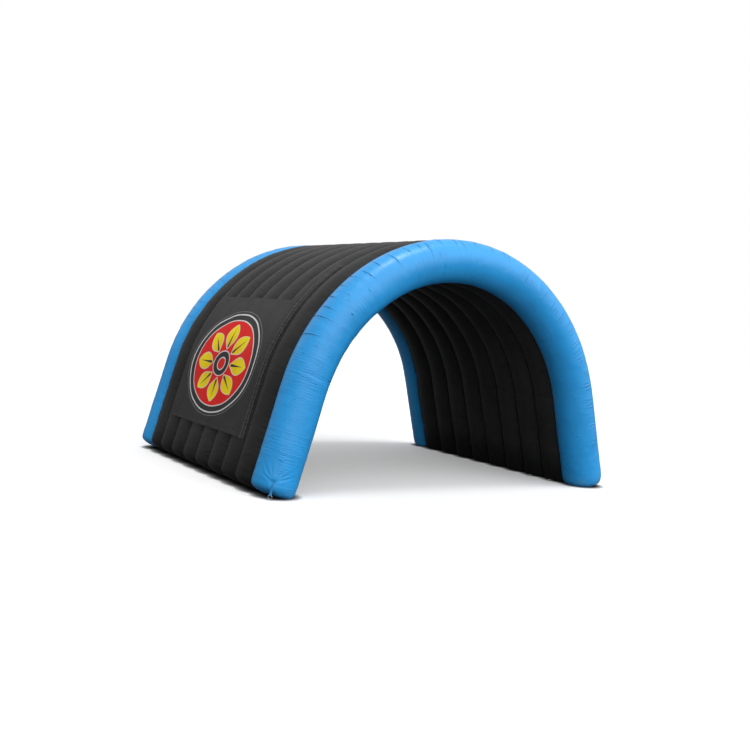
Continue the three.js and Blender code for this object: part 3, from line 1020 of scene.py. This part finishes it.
def crease_tube(tube, rng, folds, puckers, detail):
    """Creases of one end tube: soft unevenness, fine creases across it, long ones over the crown,
    puckers along both seams and a pinch where the legs turn into the arc"""
    f, at, leg, end = tube.folds, tube.at, tube.leg, tube.length
    round_it = 2 * math.pi * tube.radius
    f.swell(rng, 0.0022, 0.30, 0.25, round_it)
    f.swell(rng, 0.0012, 0.07, 0.30, round_it)
    for count, along, turns, reach, dark in TUBE_CREASES:
        f.scatter(
            rng, round(count * detail), along, (at(turns[0]), at(turns[1])), reach,
            width=(0.0028, 0.0044), depth=(0.0009 * folds, 0.0025 * folds),
            lean=0.09, dark=dark, gather=0.3, bank=0.8,
        )
    for along in np.linspace(1.75, 5.3, 24):
        highest = 372 if along < 2.6 else 352
        f.crease(
            along + rng.uniform(-0.06, 0.06), at(highest - rng.uniform(0, 30)),
            rng.uniform(0.14, 0.28), rng.uniform(0.0034, 0.0050), 0.0066 * folds,
            turn=rng.normal(0, 0.06), bend=rng.normal(0, 0.12), dark=0.95, bank=0.5,
        )
    for along in np.linspace(5.4, 7.2, 9):
        f.crease(
            along + rng.uniform(-0.05, 0.05), at(396 - rng.uniform(0, 8)),
            rng.uniform(0.08, 0.14), 0.0045, 0.0035 * folds,
            turn=rng.normal(0, 0.1), dark=0.5, bank=0.8,
        )
    for along in np.linspace(4.7, 7.5, 24):
        f.crease(
            along + rng.uniform(-0.07, 0.07), at(287 + rng.uniform(-12, 12)),
            rng.uniform(0.06, 0.15), 0.0085, rng.uniform(0.0030, 0.0065) * folds,
            turn=rng.normal(0, 0.10), dark=0.4, bank=0.9,
        )
    for seam, side in ((tube.first, 1), (tube.last, -1)):
        f.puckers(rng, seam, side, (0.018, 0.05), (0.03, 0.08), (0.004, 0.007),
                  (0.0012 * puckers, 0.0032 * puckers), dark=0.35)
    f.crease(leg + 0.19, at(212), 0.25, 0.0065, 0.009 * folds, bend=0.16, dark=0.8, bank=0.5)
    f.crease(leg + 0.225, at(226), 0.12, 0.005, 0.004 * folds, turn=0.1, dark=0.35)
    f.crease(end - leg - 0.16, at(290), 0.15, 0.0090, 0.0085 * folds, dark=0.6, bank=0.9)


def gather_at_ring(tube, rng, along, around):
    """Folds that run up and away from the sewn end of the ring's strap"""
    for turn in np.linspace(0.45, math.pi - 0.45, 7):
        reach = rng.uniform(0.10, 0.2)
        turn += rng.normal(0, 0.05)
        up, aside = math.sin(turn) * reach * 0.75, math.cos(turn) * reach * 0.75
        tube.folds.crease(along + up, around + aside, reach, rng.uniform(0.009, 0.013), 0.0032,
                          turn=turn, dark=0.08, bank=0.5)
    tube.folds.crease(along, around, 0.05, 0.03, 0.008, dark=0.15, bank=0.2)
    tube.folds.crease(0.02, tube.at(338), 0.22, 0.085, 0.05, bank=0.0)


def crest_arc(start, end, crest, steps):
    """Arc of cloth between two seams, each given as (y, offset) at every station.
    Returns y and offset, and the way outwards in both, one column for each step."""
    t = np.linspace(-1, 1, steps + 1)[None, :]
    (y0, n0), (y1, n1) = ([value[:, None] for value in pair] for pair in (start, end))
    half = (y1 - y0) / 2
    rise = crest - (n0 + n1) / 2
    sweep = 2 * np.arctan(rise / half)
    turn = t * sweep
    along = (1 + np.sin(turn) / np.sin(sweep)) / 2
    bulge = (np.cos(turn) - np.cos(sweep)) / (1 - np.cos(sweep))
    return (
        y0 + 2 * half * along,
        n0 + (n1 - n0) * along + rise * bulge,
        np.sin(turn),
        np.cos(turn) + 0 * y0,
    )


RIB_OUTER_STEPS, RIB_INNER_STEPS, RIB_WALL_STEPS, RIB_HOLLOW_STEPS = 24, 18, 3, 8


class Rib:
    """One arched chamber between two seams, as a grid of points"""

    def __init__(self, sizes, line, number, rows):
        self.number, self.sizes = number, sizes
        self.stations = line.stations(*rows)
        self.along = self.stations[:, 0]
        low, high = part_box(f"rib_{number}")
        self.box = low[1], high[1]
        self.centre = (low[1] + high[1]) / 2
        for at_end in (False, True):
            if self.tube_beside(at_end):
                pitch = breadth(f"rib_{number - 1 if at_end else number + 1}", 1)
                self.centre = low[1] + pitch / 2 if at_end else high[1] - pitch / 2
        outer = self.skin(False, RIB_OUTER_STEPS)
        inside = self.skin(True, RIB_INNER_STEPS)
        parts = (
            (-1, inside),
            (0, self.side(inside, outer, -1)),
            (1, tuple(part[:, ::-1] for part in outer)),
            (0, self.side(outer, inside, 0)),
        )
        self.y, self.offset, self.way_y, self.way_out = (
            np.concatenate([part[i] for _, part in parts], 1) for i in range(4)
        )
        self.mark = np.concatenate([np.full(part[0].shape[1], mark) for mark, part in parts])
        row = len(self.along) // 4
        gaps = np.hypot(np.diff(self.y[row]), np.diff(self.offset[row]))
        self.around = np.concatenate([[0], np.cumsum(gaps)])
        self.folds = Folds(self.along, self.around)

    def tube_beside(self, at_end):
        """The end tube that the rib is sewn to at its start or its end, if any"""
        if at_end:
            return "back_arch_tube" if self.number == len(RIB_NAMES) else None
        return "front_arch_tube" if self.number == 1 else None

    def on_tube(self, at_end, radius, turn):
        """y and offset of a place on the tube beside the rib"""
        side = -1 if at_end else 1
        across = middle(self.tube_beside(at_end), 1) + side * radius * np.sin(turn)
        return across, radius * np.cos(turn)

    def seam(self, at_end, inner):
        """y and offset of one of the rib's seams at every station, wandering a little"""
        if self.tube_beside(at_end):
            turn = self.sizes.seam_angle + seam_turns(-1 if at_end else 1, inner, self.along)
            return self.on_tube(at_end, self.sizes.tube_radius + CLOTH_GAP / 2, turn)
        edge = self.box[1] if at_end else self.box[0]
        boundary = self.number if at_end else self.number - 1
        shift = VALLEY_WAVER * waver(30 + boundary + (20 if inner else 0), self.along, 0.14)
        valley = self.sizes.inner_valley if inner else self.sizes.outer_valley
        return edge + shift, np.full(len(self.along), valley)

    def skin(self, inner, steps):
        """Inner or outer cloth: y, offset and the way outwards in both"""
        y, n, way_y, way_n = crest_arc(
            self.seam(False, inner), self.seam(True, inner), self.sizes.crest, steps
        )
        return (y, -n, way_y, -way_n) if inner else (y, n, way_y, way_n)

    def side(self, first, second, edge):
        """Straight wall between two ribs, or the hollow side that lies against a tube"""
        y0, n0 = first[0][:, edge, None], first[1][:, edge, None]
        y1, n1 = second[0][:, edge, None], second[1][:, edge, None]
        at_end = edge == -1
        hollow = self.tube_beside(at_end)
        steps = RIB_HOLLOW_STEPS if hollow else RIB_WALL_STEPS
        t = (np.arange(1, steps + 1) / (steps + 1))[None, :]
        if hollow:
            radius = self.sizes.tube_radius + CLOTH_GAP
            start, end = (np.arccos(np.clip(n / radius, -1, 1)) for n in (n0, n1))
            y, n = self.on_tube(at_end, radius, start + (end - start) * t)
        else:
            y, n = y0 + (y1 - y0) * t, n0 + (n1 - n0) * t
        return y, n, 0 * y, 0 * n

    def span(self, mark):
        """First and last distance around of the outer (1) or the inner (-1) skin"""
        picked = self.around[self.mark == mark]
        return picked[0], picked[-1]

    def piece(self, name, most):
        seam, free = np.zeros(len(self.around)), np.zeros(len(self.around))
        for mark in (1, -1):
            low, high = self.span(mark)
            skin = self.mark == mark
            away = np.minimum(self.around - low, high - self.around)
            seam[skin] = away[skin]
            free[skin] = fade_in(away, 0.0, RIB_SEAM_REACH)[skin]
        drop = np.minimum(self.folds.depth * free, most)
        y = self.y + drop * self.way_y
        y = self.centre + (y - self.centre) * self.stations[:, 6, None]
        points = place(self.stations, y, self.offset + drop * self.way_out)
        return cloth_object(name, points, self.folds, True, seam_distance=seam)


# Distance up the arch, from either foot, where the ribs are pinched inside
RIB_PINCH = 1.2


def crease_rib(rib, rng, folds, puckers):
    """Creases of a rib: soft unevenness, long shallow folds across it, puckers along its seams
    and a pinch inside where the legs turn into the arc"""
    f = rib.folds
    f.swell(rng, 0.0016, 0.22, 0.12)
    f.swell(rng, 0.0008, 0.06, 0.15)
    for mark, count in ((1, 150), (-1, 110)):
        low, high = rib.span(mark)
        f.scatter(
            rng, count, (0.05, rib.along[-1]), (low, high), (0.05, 0.17), (0.008, 0.014),
            (0.0008 * folds, 0.0028 * folds), lean=0.15, dark=0.35,
        )
        for seam, side in ((low, 1), (high, -1)):
            f.puckers(rng, seam, side, (0.03, 0.075), (0.035, 0.10), (0.008, 0.013),
                      (0.0012 * puckers, 0.0035 * puckers), dark=0.3)
    for along in (RIB_PINCH, rib.along[-1] - RIB_PINCH + rib.along[0]):
        f.crease(along, (low + high) / 2, 0.26, 0.016, 0.005 * folds, dark=0.15)


class RibTop:
    """Outer side of the ribs under the banner, as offsets from the arch line"""

    def __init__(self, sizes):
        low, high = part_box("rib_2")
        self.pitch = high[1] - low[1] + CLOTH_GAP
        self.crests = [middle(name, 1) for name in sorted(RIB_NAMES)[1:-1]]
        half = (high[1] - low[1]) / 2
        rise = sizes.crest - sizes.outer_valley
        self.round = half / math.sin(2 * math.atan(rise / half))
        self.crest = sizes.crest

    def offset(self, y):
        crests = np.array(self.crests)
        near = crests[np.abs(y[:, None] - crests).argmin(1)]
        return self.crest - self.round + np.sqrt(self.round**2 - (y - near) ** 2)

    def taut(self, y, sag):
        """Line of a cloth pulled tight over the crests that follows the end ribs down"""
        first, last = self.crests[0], self.crests[-1]
        between = (y - first) / self.pitch
        tight = self.crest - sag * np.sin(math.pi * (between - np.floor(between))) ** 2
        return np.where((y > first) & (y < last), tight, self.offset(y))


BANNER_GRID, TAPE_GRID = (150, 190), (560, 17)
# Sheets on the ribs: how far they stop short of their nodes' edges, their heights over the
# ribs, and how far the banner sags between two crests
SHEET_INSET = 0.001
BANNER_LIFT, TAPE_LIFT, BANNER_SAG = 0.0045, 0.0050, 0.005
# Height inside the tunnel from which a sheet's outer side faces away
HEART_HEIGHT = 0.6


class RibSheet:
    """A sheet that lies on the outer side of the ribs, as a grid between two heights"""

    def __init__(self, sizes, line, node, top, grid):
        low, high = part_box(node)
        self.along = np.linspace(sizes.banner_bottom, top, grid[0])
        self.across = np.linspace(low[1] + SHEET_INSET, high[1] - SHEET_INSET, grid[1])
        self.stations = np.array([(s, *line.left_station(s)) for s in self.along])
        self.folds = Folds(self.along, self.across)
        ends = np.minimum(self.along - self.along[0], self.along[-1] - self.along)
        sides = np.minimum(self.across - self.across[0], self.across[-1] - self.across)
        self.edge = np.minimum(ends[:, None], sides)

    def piece(self, name, y, offset, ply, degrees):
        points = place(self.stations, y, offset)
        piece = cloth_object(name, points, self.folds, edge_distance=self.edge)
        face = piece.data.polygons[len(piece.data.polygons) // 2]
        outward = Vector((face.center.x, 0, face.center.z - HEART_HEIGHT))
        if face.normal.dot(outward) < 0:
            piece.data.flip_normals()
        thicken(piece, ply, -1.0)
        smooth(piece, degrees)
        return piece


def make_banner(sizes, line, rng, folds):
    """Banner sheet with its hems, pulled tight over the ribs"""
    sheet = RibSheet(sizes, line, "side_banner", sizes.banner_top, BANNER_GRID)
    cloth, along, across = sheet.folds, sheet.along, sheet.across
    cloth.depth += 0.0012 * soft_noise(rng, along, across, 0.25, 0.2) * folds
    for u, v, side, slant in (
        (along[0], across[0], 1, 1), (along[0], across[-1], -1, -1),
        (along[-1], across[0], 1, -1), (along[-1], across[-1], -1, 1),
    ):
        for turn in np.linspace(0.3, 1.2, 4) * slant:
            reach = rng.uniform(0.12, 0.28)
            up, aside = math.sin(turn) * side * reach, math.cos(turn) * side * reach
            cloth.crease(u + up, v + aside, reach, 0.012, 0.0018 * folds,
                         turn=turn, dark=0.2, bank=0.5)
    for v, side in ((across[0], 1), (across[-1], -1)):
        cloth.puckers(rng, v, side, (0.03, 0.09), (0.05, 0.11), (0.008, 0.013),
                      (0.0006 * folds, 0.0018 * folds), dark=0.2)
    for _ in range(70):
        v = rng.uniform(across[0], across[-1])
        for u, side in ((along[0], 1), (along[-1], -1)):
            reach = rng.uniform(0.04, 0.10)
            width = rng.uniform(0.008, 0.014)
            cloth.crease(u + side * reach * 0.4, v, reach, width, 0.0015 * folds,
                         turn=math.pi / 2 + rng.normal(0, 0.2), dark=0.2)
    hem = 0.0012 * (1 - fade_in(sheet.edge, sizes.hem - 0.004, sizes.hem + 0.004))
    drop = np.maximum(cloth.depth, -0.0022) + hem
    offset = RibTop(sizes).taut(across, BANNER_SAG) + BANNER_LIFT + drop
    return sheet.piece("side_banner_cloth", across, offset, sizes.ply, 40)


def make_tape(sizes, line, rng):
    """Webbing tape sewn beside the banner's front edge, with rolled edges and a sewn middle"""
    sheet = RibSheet(sizes, line, "banner_edge_tape", sizes.tape_top, TAPE_GRID)
    cloth, across = sheet.folds, sheet.across
    half = (across[-1] - across[0]) / 2
    from_middle = np.abs(across - (across[0] + half))
    cloth.puckers(rng, across[0] + half, 0, (0.022, 0.06), (0.03, 0.06), (0.006, 0.009),
                  (0.0010, 0.0022), dark=1.0)
    cloth.swell(rng, 0.0008, 0.05, 0.03)
    # Painted shade along the sewn groove in the middle of the tape
    cloth.shade += 0.95 * np.exp(-((from_middle / 0.0055) ** 2))
    roll = 0.0022 * (1 - fade_in(half - from_middle, 0.004, 0.012))
    groove = -0.0014 * np.exp(-((from_middle / 0.004) ** 2))
    wander = 0.002 * waver(90, sheet.along, 0.12)[:, None]
    drop = np.maximum(cloth.depth, -0.001) + roll + groove
    offset = RibTop(sizes).offset(across) + TAPE_LIFT + drop
    return sheet.piece("banner_edge_tape_webbing", across + wander, offset, 0.0018, 50)


# Anchor ring: the way outwards from the tube's cloth at the ring, and the way up along it
RING_OUT = Vector((-0.5457, -0.8367, 0.0455))
RING_UP = Vector((0.1441, -0.0403, 0.9887))
RING_RADIUS, RING_WIRE = 0.022, 0.003
RING_DROP, RING_STAND = 0.0934, 0.0029
STRAP_PLY, STRAP_WIDTH, STRAP_TOP = 0.0022, 0.024, 0.050
LOOP_LOW, LOOP_HIGH, LOOP_HALF = -0.0766, -0.0714, 0.00465
# Where the strap is sewn on: distance up the front tube, and degrees around it from outwards
STRAP_PLACE = (0.155, 303)


def ring_frame():
    """Matrix with its x axis outwards, its z axis up along the cloth, and its origin on the
    cloth behind the strap, above the ring"""
    centre = Vector([middle("anchor_ring", axis) for axis in range(3)])
    out = RING_OUT.normalized()
    up = (RING_UP - out * RING_UP.dot(out)).normalized()
    across = up.cross(out)
    basis = Matrix((out, across, up)).transposed().to_4x4()
    basis.translation = centre - out * RING_STAND + up * RING_DROP
    return basis


def make_ring():
    """Welded steel ring, thicker and uneven at its weld"""
    select_none()
    basis = ring_frame()
    bpy.ops.mesh.primitive_torus_add(
        major_radius=RING_RADIUS, minor_radius=RING_WIRE, major_segments=120, minor_segments=28
    )
    piece = bpy.context.object
    piece.name = piece.data.name = "anchor_ring_steel"
    bpy.ops.object.mode_set(mode="EDIT")
    bpy.ops.mesh.select_mode(type="VERT")
    for width, swelling in ((0.0042, 0.00030), (0.0026, 0.00025), (0.0012, -0.00020)):
        bpy.ops.mesh.select_all(action="DESELECT")
        bpy.ops.object.mode_set(mode="OBJECT")
        for vertex in piece.data.vertices:
            vertex.select = vertex.co.x < 0 and abs(vertex.co.y) < width
        bpy.ops.object.mode_set(mode="EDIT")
        bpy.ops.transform.shrink_fatten(value=swelling)
    bpy.ops.object.mode_set(mode="OBJECT")
    down = Matrix.Translation((RING_STAND, 0, -RING_DROP))
    piece.data.transform(basis @ down @ Matrix.Rotation(math.pi / 2, 4, "Y"))
    smooth(piece, 60)
    return piece


def strap_path(inner, outer):
    """Middle line of the folded strap, as (outwards, up): down the inner ply, round the ring
    and up the outer ply"""
    middle_line = (inner + outer) / 2
    heights = (STRAP_TOP, -0.02, -0.055)
    path = [(inner, height) for height in heights] + [(middle_line - LOOP_HALF, LOOP_HIGH)]
    for turn in math.pi + math.pi * np.arange(1, 16) / 16:
        out, up = LOOP_HALF * math.cos(turn), LOOP_HALF * math.sin(turn)
        path.append((middle_line + out, LOOP_LOW + up))
    path += [(middle_line + LOOP_HALF, LOOP_HIGH)] + [(outer, height) for height in heights[::-1]]
    return np.array(path)


def make_strap():
    """Strap folded round the ring, with both its ends sewn to the tube"""
    low = CLOTH_GAP + STRAP_PLY / 2
    path = strap_path(low, low + STRAP_PLY + 0.0002)
    run = np.concatenate([[0], np.cumsum(np.hypot(*np.diff(path, axis=0).T))])
    along = np.linspace(0, run[-1], 180)
    line = np.stack([np.interp(along, run, path[:, i]) for i in range(2)], 1)
    for _ in range(6):
        line[1:-1] = (line[:-2] + line[2:] + 2 * line[1:-1]) / 4
    across = np.linspace(-STRAP_WIDTH / 2, STRAP_WIDTH / 2, 11)
    points = np.zeros((len(along), len(across), 3))
    points[..., 0], points[..., 1], points[..., 2] = line[:, 0, None], across, line[:, 1, None]
    ends = np.minimum(along, along[-1] - along)[:, None]
    edge = np.minimum(STRAP_WIDTH / 2 - np.abs(across), ends)
    piece = cloth_object("ring_strap_webbing", points, Folds(along, across), edge_distance=edge)
    thicken(piece, STRAP_PLY - 0.0001, 0.0)
    piece.data.transform(ring_frame())
    smooth(piece, 50)
    return piece, float(along[-1])


TAB_REACH, TAB_HALF, TAB_NOSE, TAB_HOLE = 0.080, 0.045, 0.014, 0.007


def tab_outline():
    """Points round a triangular tab with a round nose, its root on the y axis and nose at -x"""
    slope = math.atan2(TAB_HALF - TAB_NOSE, TAB_REACH)
    nose = [
        (TAB_NOSE - TAB_REACH + TAB_NOSE * math.cos(turn), TAB_NOSE * math.sin(turn))
        for turn in np.linspace(math.pi / 2 + slope, 1.5 * math.pi - slope, 24)
    ]
    corners = [(0, -TAB_HALF), (0, TAB_HALF), *nose, (0, -TAB_HALF)]
    points = []
    for (x0, y0), (x1, y1) in zip(corners, corners[1:]):
        for t in np.linspace(0, 1, 60, endpoint=False):
            points.append((x0 + (x1 - x0) * t, y0 + (y1 - y0) * t))
    return np.array(points)


def make_tab(node):
    """Webbing tab on the ground with a hole for a peg"""
    low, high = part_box(node)
    root = Vector((high[0], (low[1] + high[1]) / 2, 0))
    hole_x = TAB_NOSE - TAB_REACH + TAB_HOLE / 2
    outline = tab_outline() - (hole_x, 0)
    turns = np.arctan2(outline[:, 1], outline[:, 0])
    order = np.argsort(turns)
    turn = np.linspace(-math.pi, math.pi, 97)[:-1]
    reach = np.interp(turn, turns[order], np.hypot(*outline.T)[order], period=2 * math.pi)
    part = np.linspace(0, 1, 15)[:, None]
    away = TAB_HOLE + (reach - TAB_HOLE) * part
    x, y = hole_x + away * np.cos(turn), away * np.sin(turn)
    edge = np.minimum((reach - TAB_HOLE) * (1 - part), away - TAB_HOLE)
    lift = 0.0006 + 0.0022 * np.clip(-x / TAB_REACH, 0, 1) ** 2 * (1 + np.sin(y * 60)) / 2
    z = lift + 0.0006 * (1 - fade_in(edge, 0.002, 0.005))
    points = np.stack([root.x + x, root.y + y, z], -1)
    quads = grid_faces(*points.shape[:2], True)
    mesh = bpy.data.meshes.new(node)
    mesh.from_pydata(points.reshape(-1, 3).tolist(), [], quads.tolist())
    write_cloth_map(mesh, np.stack([x.ravel() + 1, y.ravel() + 1], -1)[quads.ravel()])
    write_value(mesh, "edge_distance", edge)
    write_value(mesh, "fold_shade", edge * 0)
    piece = new_object(f"{node}_webbing", mesh)
    if mesh.polygons[0].normal.z < 0:
        mesh.flip_normals()
    thicken(piece, 0.0016, 1.0)
    smooth(piece, 50)
    return piece


# ---------------------------------------------------------------- operators


def settings():
    scene = bpy.context.scene
    return scene.tunnel_sizes, scene.tunnel_folds, scene.tunnel_colours, scene.tunnel_stage


def seeded(number):
    """A new source of random numbers, the same each time for the same piece"""
    return np.random.default_rng(1000 * bpy.context.scene.tunnel_folds.seed + number)


class TUNNEL_OT_end_arches(bpy.types.Operator):
    """Add the two round blue tubes that stand at the ends of the tunnel"""

    bl_idname = "tunnel.end_arches"
    bl_label = "End Arches"

    def execute(self, context):
        sizes, folds, colours, _ = settings()
        line = ArchLine(sizes)
        cloth = blue_cloth(colours)
        columns = (TUBE_CONTACT_STEPS, TUBE_FREE_STEPS)
        ends = (("front_arch_tube", 1, (640, 380), 1.0), ("back_arch_tube", -1, (360, 300), 0.8))
        for number, (node, side, rows, detail) in enumerate(ends):
            tube, rng = Tube(sizes, line, node, side, rows, columns), seeded(number)
            crease_tube(tube, rng, folds.tube_fold, folds.seam_pucker, detail)
            if side > 0:
                gather_at_ring(tube, rng, STRAP_PLACE[0], tube.at(STRAP_PLACE[1]))
            piece = tube.piece(node.replace("tube", "cloth"))
            smooth(piece, 70)
            settle(piece, cloth, "blue_fabric", node)
        return {"FINISHED"}


# How far a rib's folds may stand out in the open and under the sheets, and how far past the
# sheets' ends that holds
OPEN_SWELL, COVERED_SWELL = 0.01, 0.0012
COVERED_BELOW, COVERED_ABOVE = 0.08, 0.06


class TUNNEL_OT_ribs(bpy.types.Operator):
    """Add the arched black chambers that lie side by side between the end arches"""

    bl_idname = "tunnel.ribs"
    bl_label = "Ribs"

    def execute(self, context):
        sizes, folds, colours, _ = settings()
        line = ArchLine(sizes)
        cloth = black_cloth(colours)
        last = len(RIB_NAMES)
        for number in range(1, last + 1):
            rib, rng = Rib(sizes, line, number, (300, 260)), seeded(20 + number)
            crease_rib(rib, rng, folds.rib_fold, folds.seam_pucker)
            most = np.full((len(rib.along), 1), OPEN_SWELL)
            if 1 < number < last:
                low = sizes.banner_bottom - COVERED_BELOW
                high = (sizes.tape_top if number == 2 else sizes.banner_top) + COVERED_ABOVE
                most[(rib.along > low) & (rib.along < high)] = COVERED_SWELL
            piece = rib.piece(f"rib_{number}_cloth", most)
            smooth(piece, 55)
            settle(piece, cloth, "black_fabric", f"rib_{number}")
        return {"FINISHED"}


class TUNNEL_OT_banner(bpy.types.Operator):
    """Add the printed banner sheet on the left flank"""

    bl_idname = "tunnel.banner"
    bl_label = "Side Banner"

    def execute(self, context):
        sizes, folds, colours, _ = settings()
        piece = make_banner(sizes, ArchLine(sizes), seeded(40), folds.banner_fold)
        settle(piece, banner_material(sizes, colours), "banner_print", "side_banner")
        return {"FINISHED"}


class TUNNEL_OT_edge_tape(bpy.types.Operator):
    """Add the webbing tape beside the banner's front edge"""

    bl_idname = "tunnel.edge_tape"
    bl_label = "Edge Tape"

    def execute(self, context):
        sizes, _, colours, _ = settings()
        piece = make_tape(sizes, ArchLine(sizes), seeded(50))
        material = webbing("Tape webbing", tuple(colours.tape), (0.11, 0.11, 0.11))
        settle(piece, material, "dark_webbing", "banner_edge_tape")
        return {"FINISHED"}


class TUNNEL_OT_anchor_ring(bpy.types.Operator):
    """Add the steel anchor ring and its folded strap at the foot of the front left leg"""

    bl_idname = "tunnel.anchor_ring"
    bl_label = "Anchor Ring"

    def execute(self, context):
        _, _, colours, _ = settings()
        strap, length = make_strap()
        material = webbing("Strap webbing", shade(colours.blue, 0.74), shade(colours.blue, 0.82))
        settle(strap, material, "blue_fabric", "ring_strap")
        settle(make_ring(), ring_material(tuple(colours.metal)), "ring_steel", "anchor_ring")
        return {"FINISHED"}


class TUNNEL_OT_anchor_tabs(bpy.types.Operator):
    """Add the two webbing tabs on the ground inside the right wall"""

    bl_idname = "tunnel.anchor_tabs"
    bl_label = "Anchor Tabs"

    def execute(self, context):
        _, _, colours, _ = settings()
        material = webbing("Tab webbing", tuple(colours.tab), (0.55, 0.56, 0.58))
        for number in (1, 2):
            node = f"anchor_tab_{number}"
            piece = make_tab(node)
            settle(piece, material, "pale_webbing", node)
        return {"FINISHED"}


CAMERA_PLACE = (-7.204, -11.352, 2.018)
CAMERA_RIGHT = (0.84343, -0.53217, 0.07365)
CAMERA_UP = (-0.03117, 0.08839, 0.9956)
SUN_WAY = (-0.05, 0.11, -1.0)
FRONT_WAY = (0.2, -0.98)
# Where the horizon's light fades towards the banner's side, as parts of the way across
BANNER_SIDE_WAY = (-0.85, -0.25)
FLOOR_DROP = 0.0015


class TUNNEL_OT_stage(bpy.types.Operator):
    """Add the pale floor, the soft light and the camera"""

    bl_idname = "tunnel.stage"
    bl_label = "Stage"

    def execute(self, context):
        _, _, _, stage = settings()
        self.floor(stage)
        self.sky(context.scene, stage)
        sun = bpy.data.lights.new("Broad sun", "SUN")
        sun.energy, sun.angle = stage.sun, stage.sun_size
        lamp = bpy.data.objects.new("Broad sun", sun)
        lamp.rotation_mode = "QUATERNION"
        lamp.rotation_quaternion = Vector(SUN_WAY).to_track_quat("-Z", "Y")
        context.scene.collection.objects.link(lamp)
        self.camera(context.scene, stage)
        context.scene.view_settings.view_transform = "Standard"
        context.scene.view_settings.look = "None"
        return {"FINISHED"}

    def floor(self, stage):
        select_none()
        bpy.ops.mesh.primitive_circle_add(
            vertices=160, radius=stage.floor_radius, fill_type="NGON", location=(0, 0, -FLOOR_DROP)
        )
        floor = bpy.context.object
        floor.name = floor.data.name = "studio_floor"
        bpy.ops.object.mode_set(mode="EDIT")
        bpy.ops.mesh.select_all(action="SELECT")
        for step in (0.4, 0.5):
            bpy.ops.mesh.inset(thickness=stage.floor_radius * step, depth=0)
        bpy.ops.object.mode_set(mode="OBJECT")
        bpy.ops.object.transform_apply(location=True, rotation=True, scale=True)
        floor.data.materials.append(floor_material(tuple(stage.floor), stage.floor_glow))

    def sky(self, scene, stage):
        world = bpy.data.worlds.new("Studio")
        scene.world = world
        world.use_nodes = True
        nodes = Nodes(world.node_tree)
        world.node_tree.nodes.clear()
        across, back, height = nodes.split(nodes.add("ShaderNodeTexCoord"))
        above = nodes.math("MAXIMUM", height, 0.0) * stage.overhead
        front = nodes.math("MAXIMUM", across * FRONT_WAY[0] + back * FRONT_WAY[1], 0.0)
        level = nodes.between(across, *BANNER_SIDE_WAY, stage.banner_side, 1.0) * stage.horizon
        light = above + front * stage.front + level
        mirrored = light * nodes.between(height, 0.0, 0.5, stage.mirrored, 1.0)
        path = nodes.light_path()
        light = nodes.choose(path["Is Glossy Ray"], light, mirrored)
        strength = nodes.choose(path["Is Camera Ray"], light, 1.0)
        light = nodes.add("ShaderNodeBackground", {"Color": (1.0, 1.0, 1.0), "Strength": strength})
        nodes.add("ShaderNodeOutputWorld", {"Surface": light})

    def camera(self, scene, stage):
        camera = bpy.data.cameras.new("Camera")
        camera.lens, camera.sensor_width, camera.clip_end = stage.lens, 36, 500
        eye = bpy.data.objects.new("Camera", camera)
        right, up = Vector(CAMERA_RIGHT).normalized(), Vector(CAMERA_UP).normalized()
        back = right.cross(up).normalized()
        turn = Matrix((right, back.cross(right), back)).transposed().to_4x4()
        eye.matrix_world = Matrix.Translation(CAMERA_PLACE) @ turn
        scene.collection.objects.link(eye)
        scene.camera = eye


class TUNNEL_PT_sidebar(bpy.types.Panel):
    """Lists the tunnel's pieces and settings"""

    bl_label = "Inflatable Tunnel"
    bl_idname = "TUNNEL_PT_sidebar"
    bl_space_type = "VIEW_3D"
    bl_region_type = "UI"
    bl_category = "Tunnel"

    def draw(self, context):
        column = self.layout.column(align=True)
        for piece in PIECES:
            column.operator(piece.bl_idname)
        for group in ("tunnel_sizes", "tunnel_folds", "tunnel_colours", "tunnel_stage"):
            box = self.layout.box()
            values = getattr(context.scene, group)
            for key in values.__annotations__:
                box.prop(values, key)


PIECES = (
    TUNNEL_OT_stage,
    TUNNEL_OT_end_arches,
    TUNNEL_OT_ribs,
    TUNNEL_OT_banner,
    TUNNEL_OT_edge_tape,
    TUNNEL_OT_anchor_ring,
    TUNNEL_OT_anchor_tabs,
)
GROUPS = {
    "tunnel_sizes": TunnelSizes,
    "tunnel_folds": TunnelFolds,
    "tunnel_colours": TunnelColours,
    "tunnel_stage": TunnelStage,
}


def register():
    for name, group in GROUPS.items():
        bpy.utils.register_class(group)
        setattr(bpy.types.Scene, name, PointerProperty(type=group))
    for kind in (*PIECES, TUNNEL_PT_sidebar):
        bpy.utils.register_class(kind)


def unregister():
    for kind in (TUNNEL_PT_sidebar, *reversed(PIECES)):
        bpy.utils.unregister_class(kind)
    for name, group in reversed(GROUPS.items()):
        delattr(bpy.types.Scene, name)
        bpy.utils.unregister_class(group)


def main():
    register()
    for piece in PIECES:
        area, name = piece.bl_idname.split(".")
        getattr(getattr(bpy.ops, area), name)()


if __name__ == "__main__":
    main()
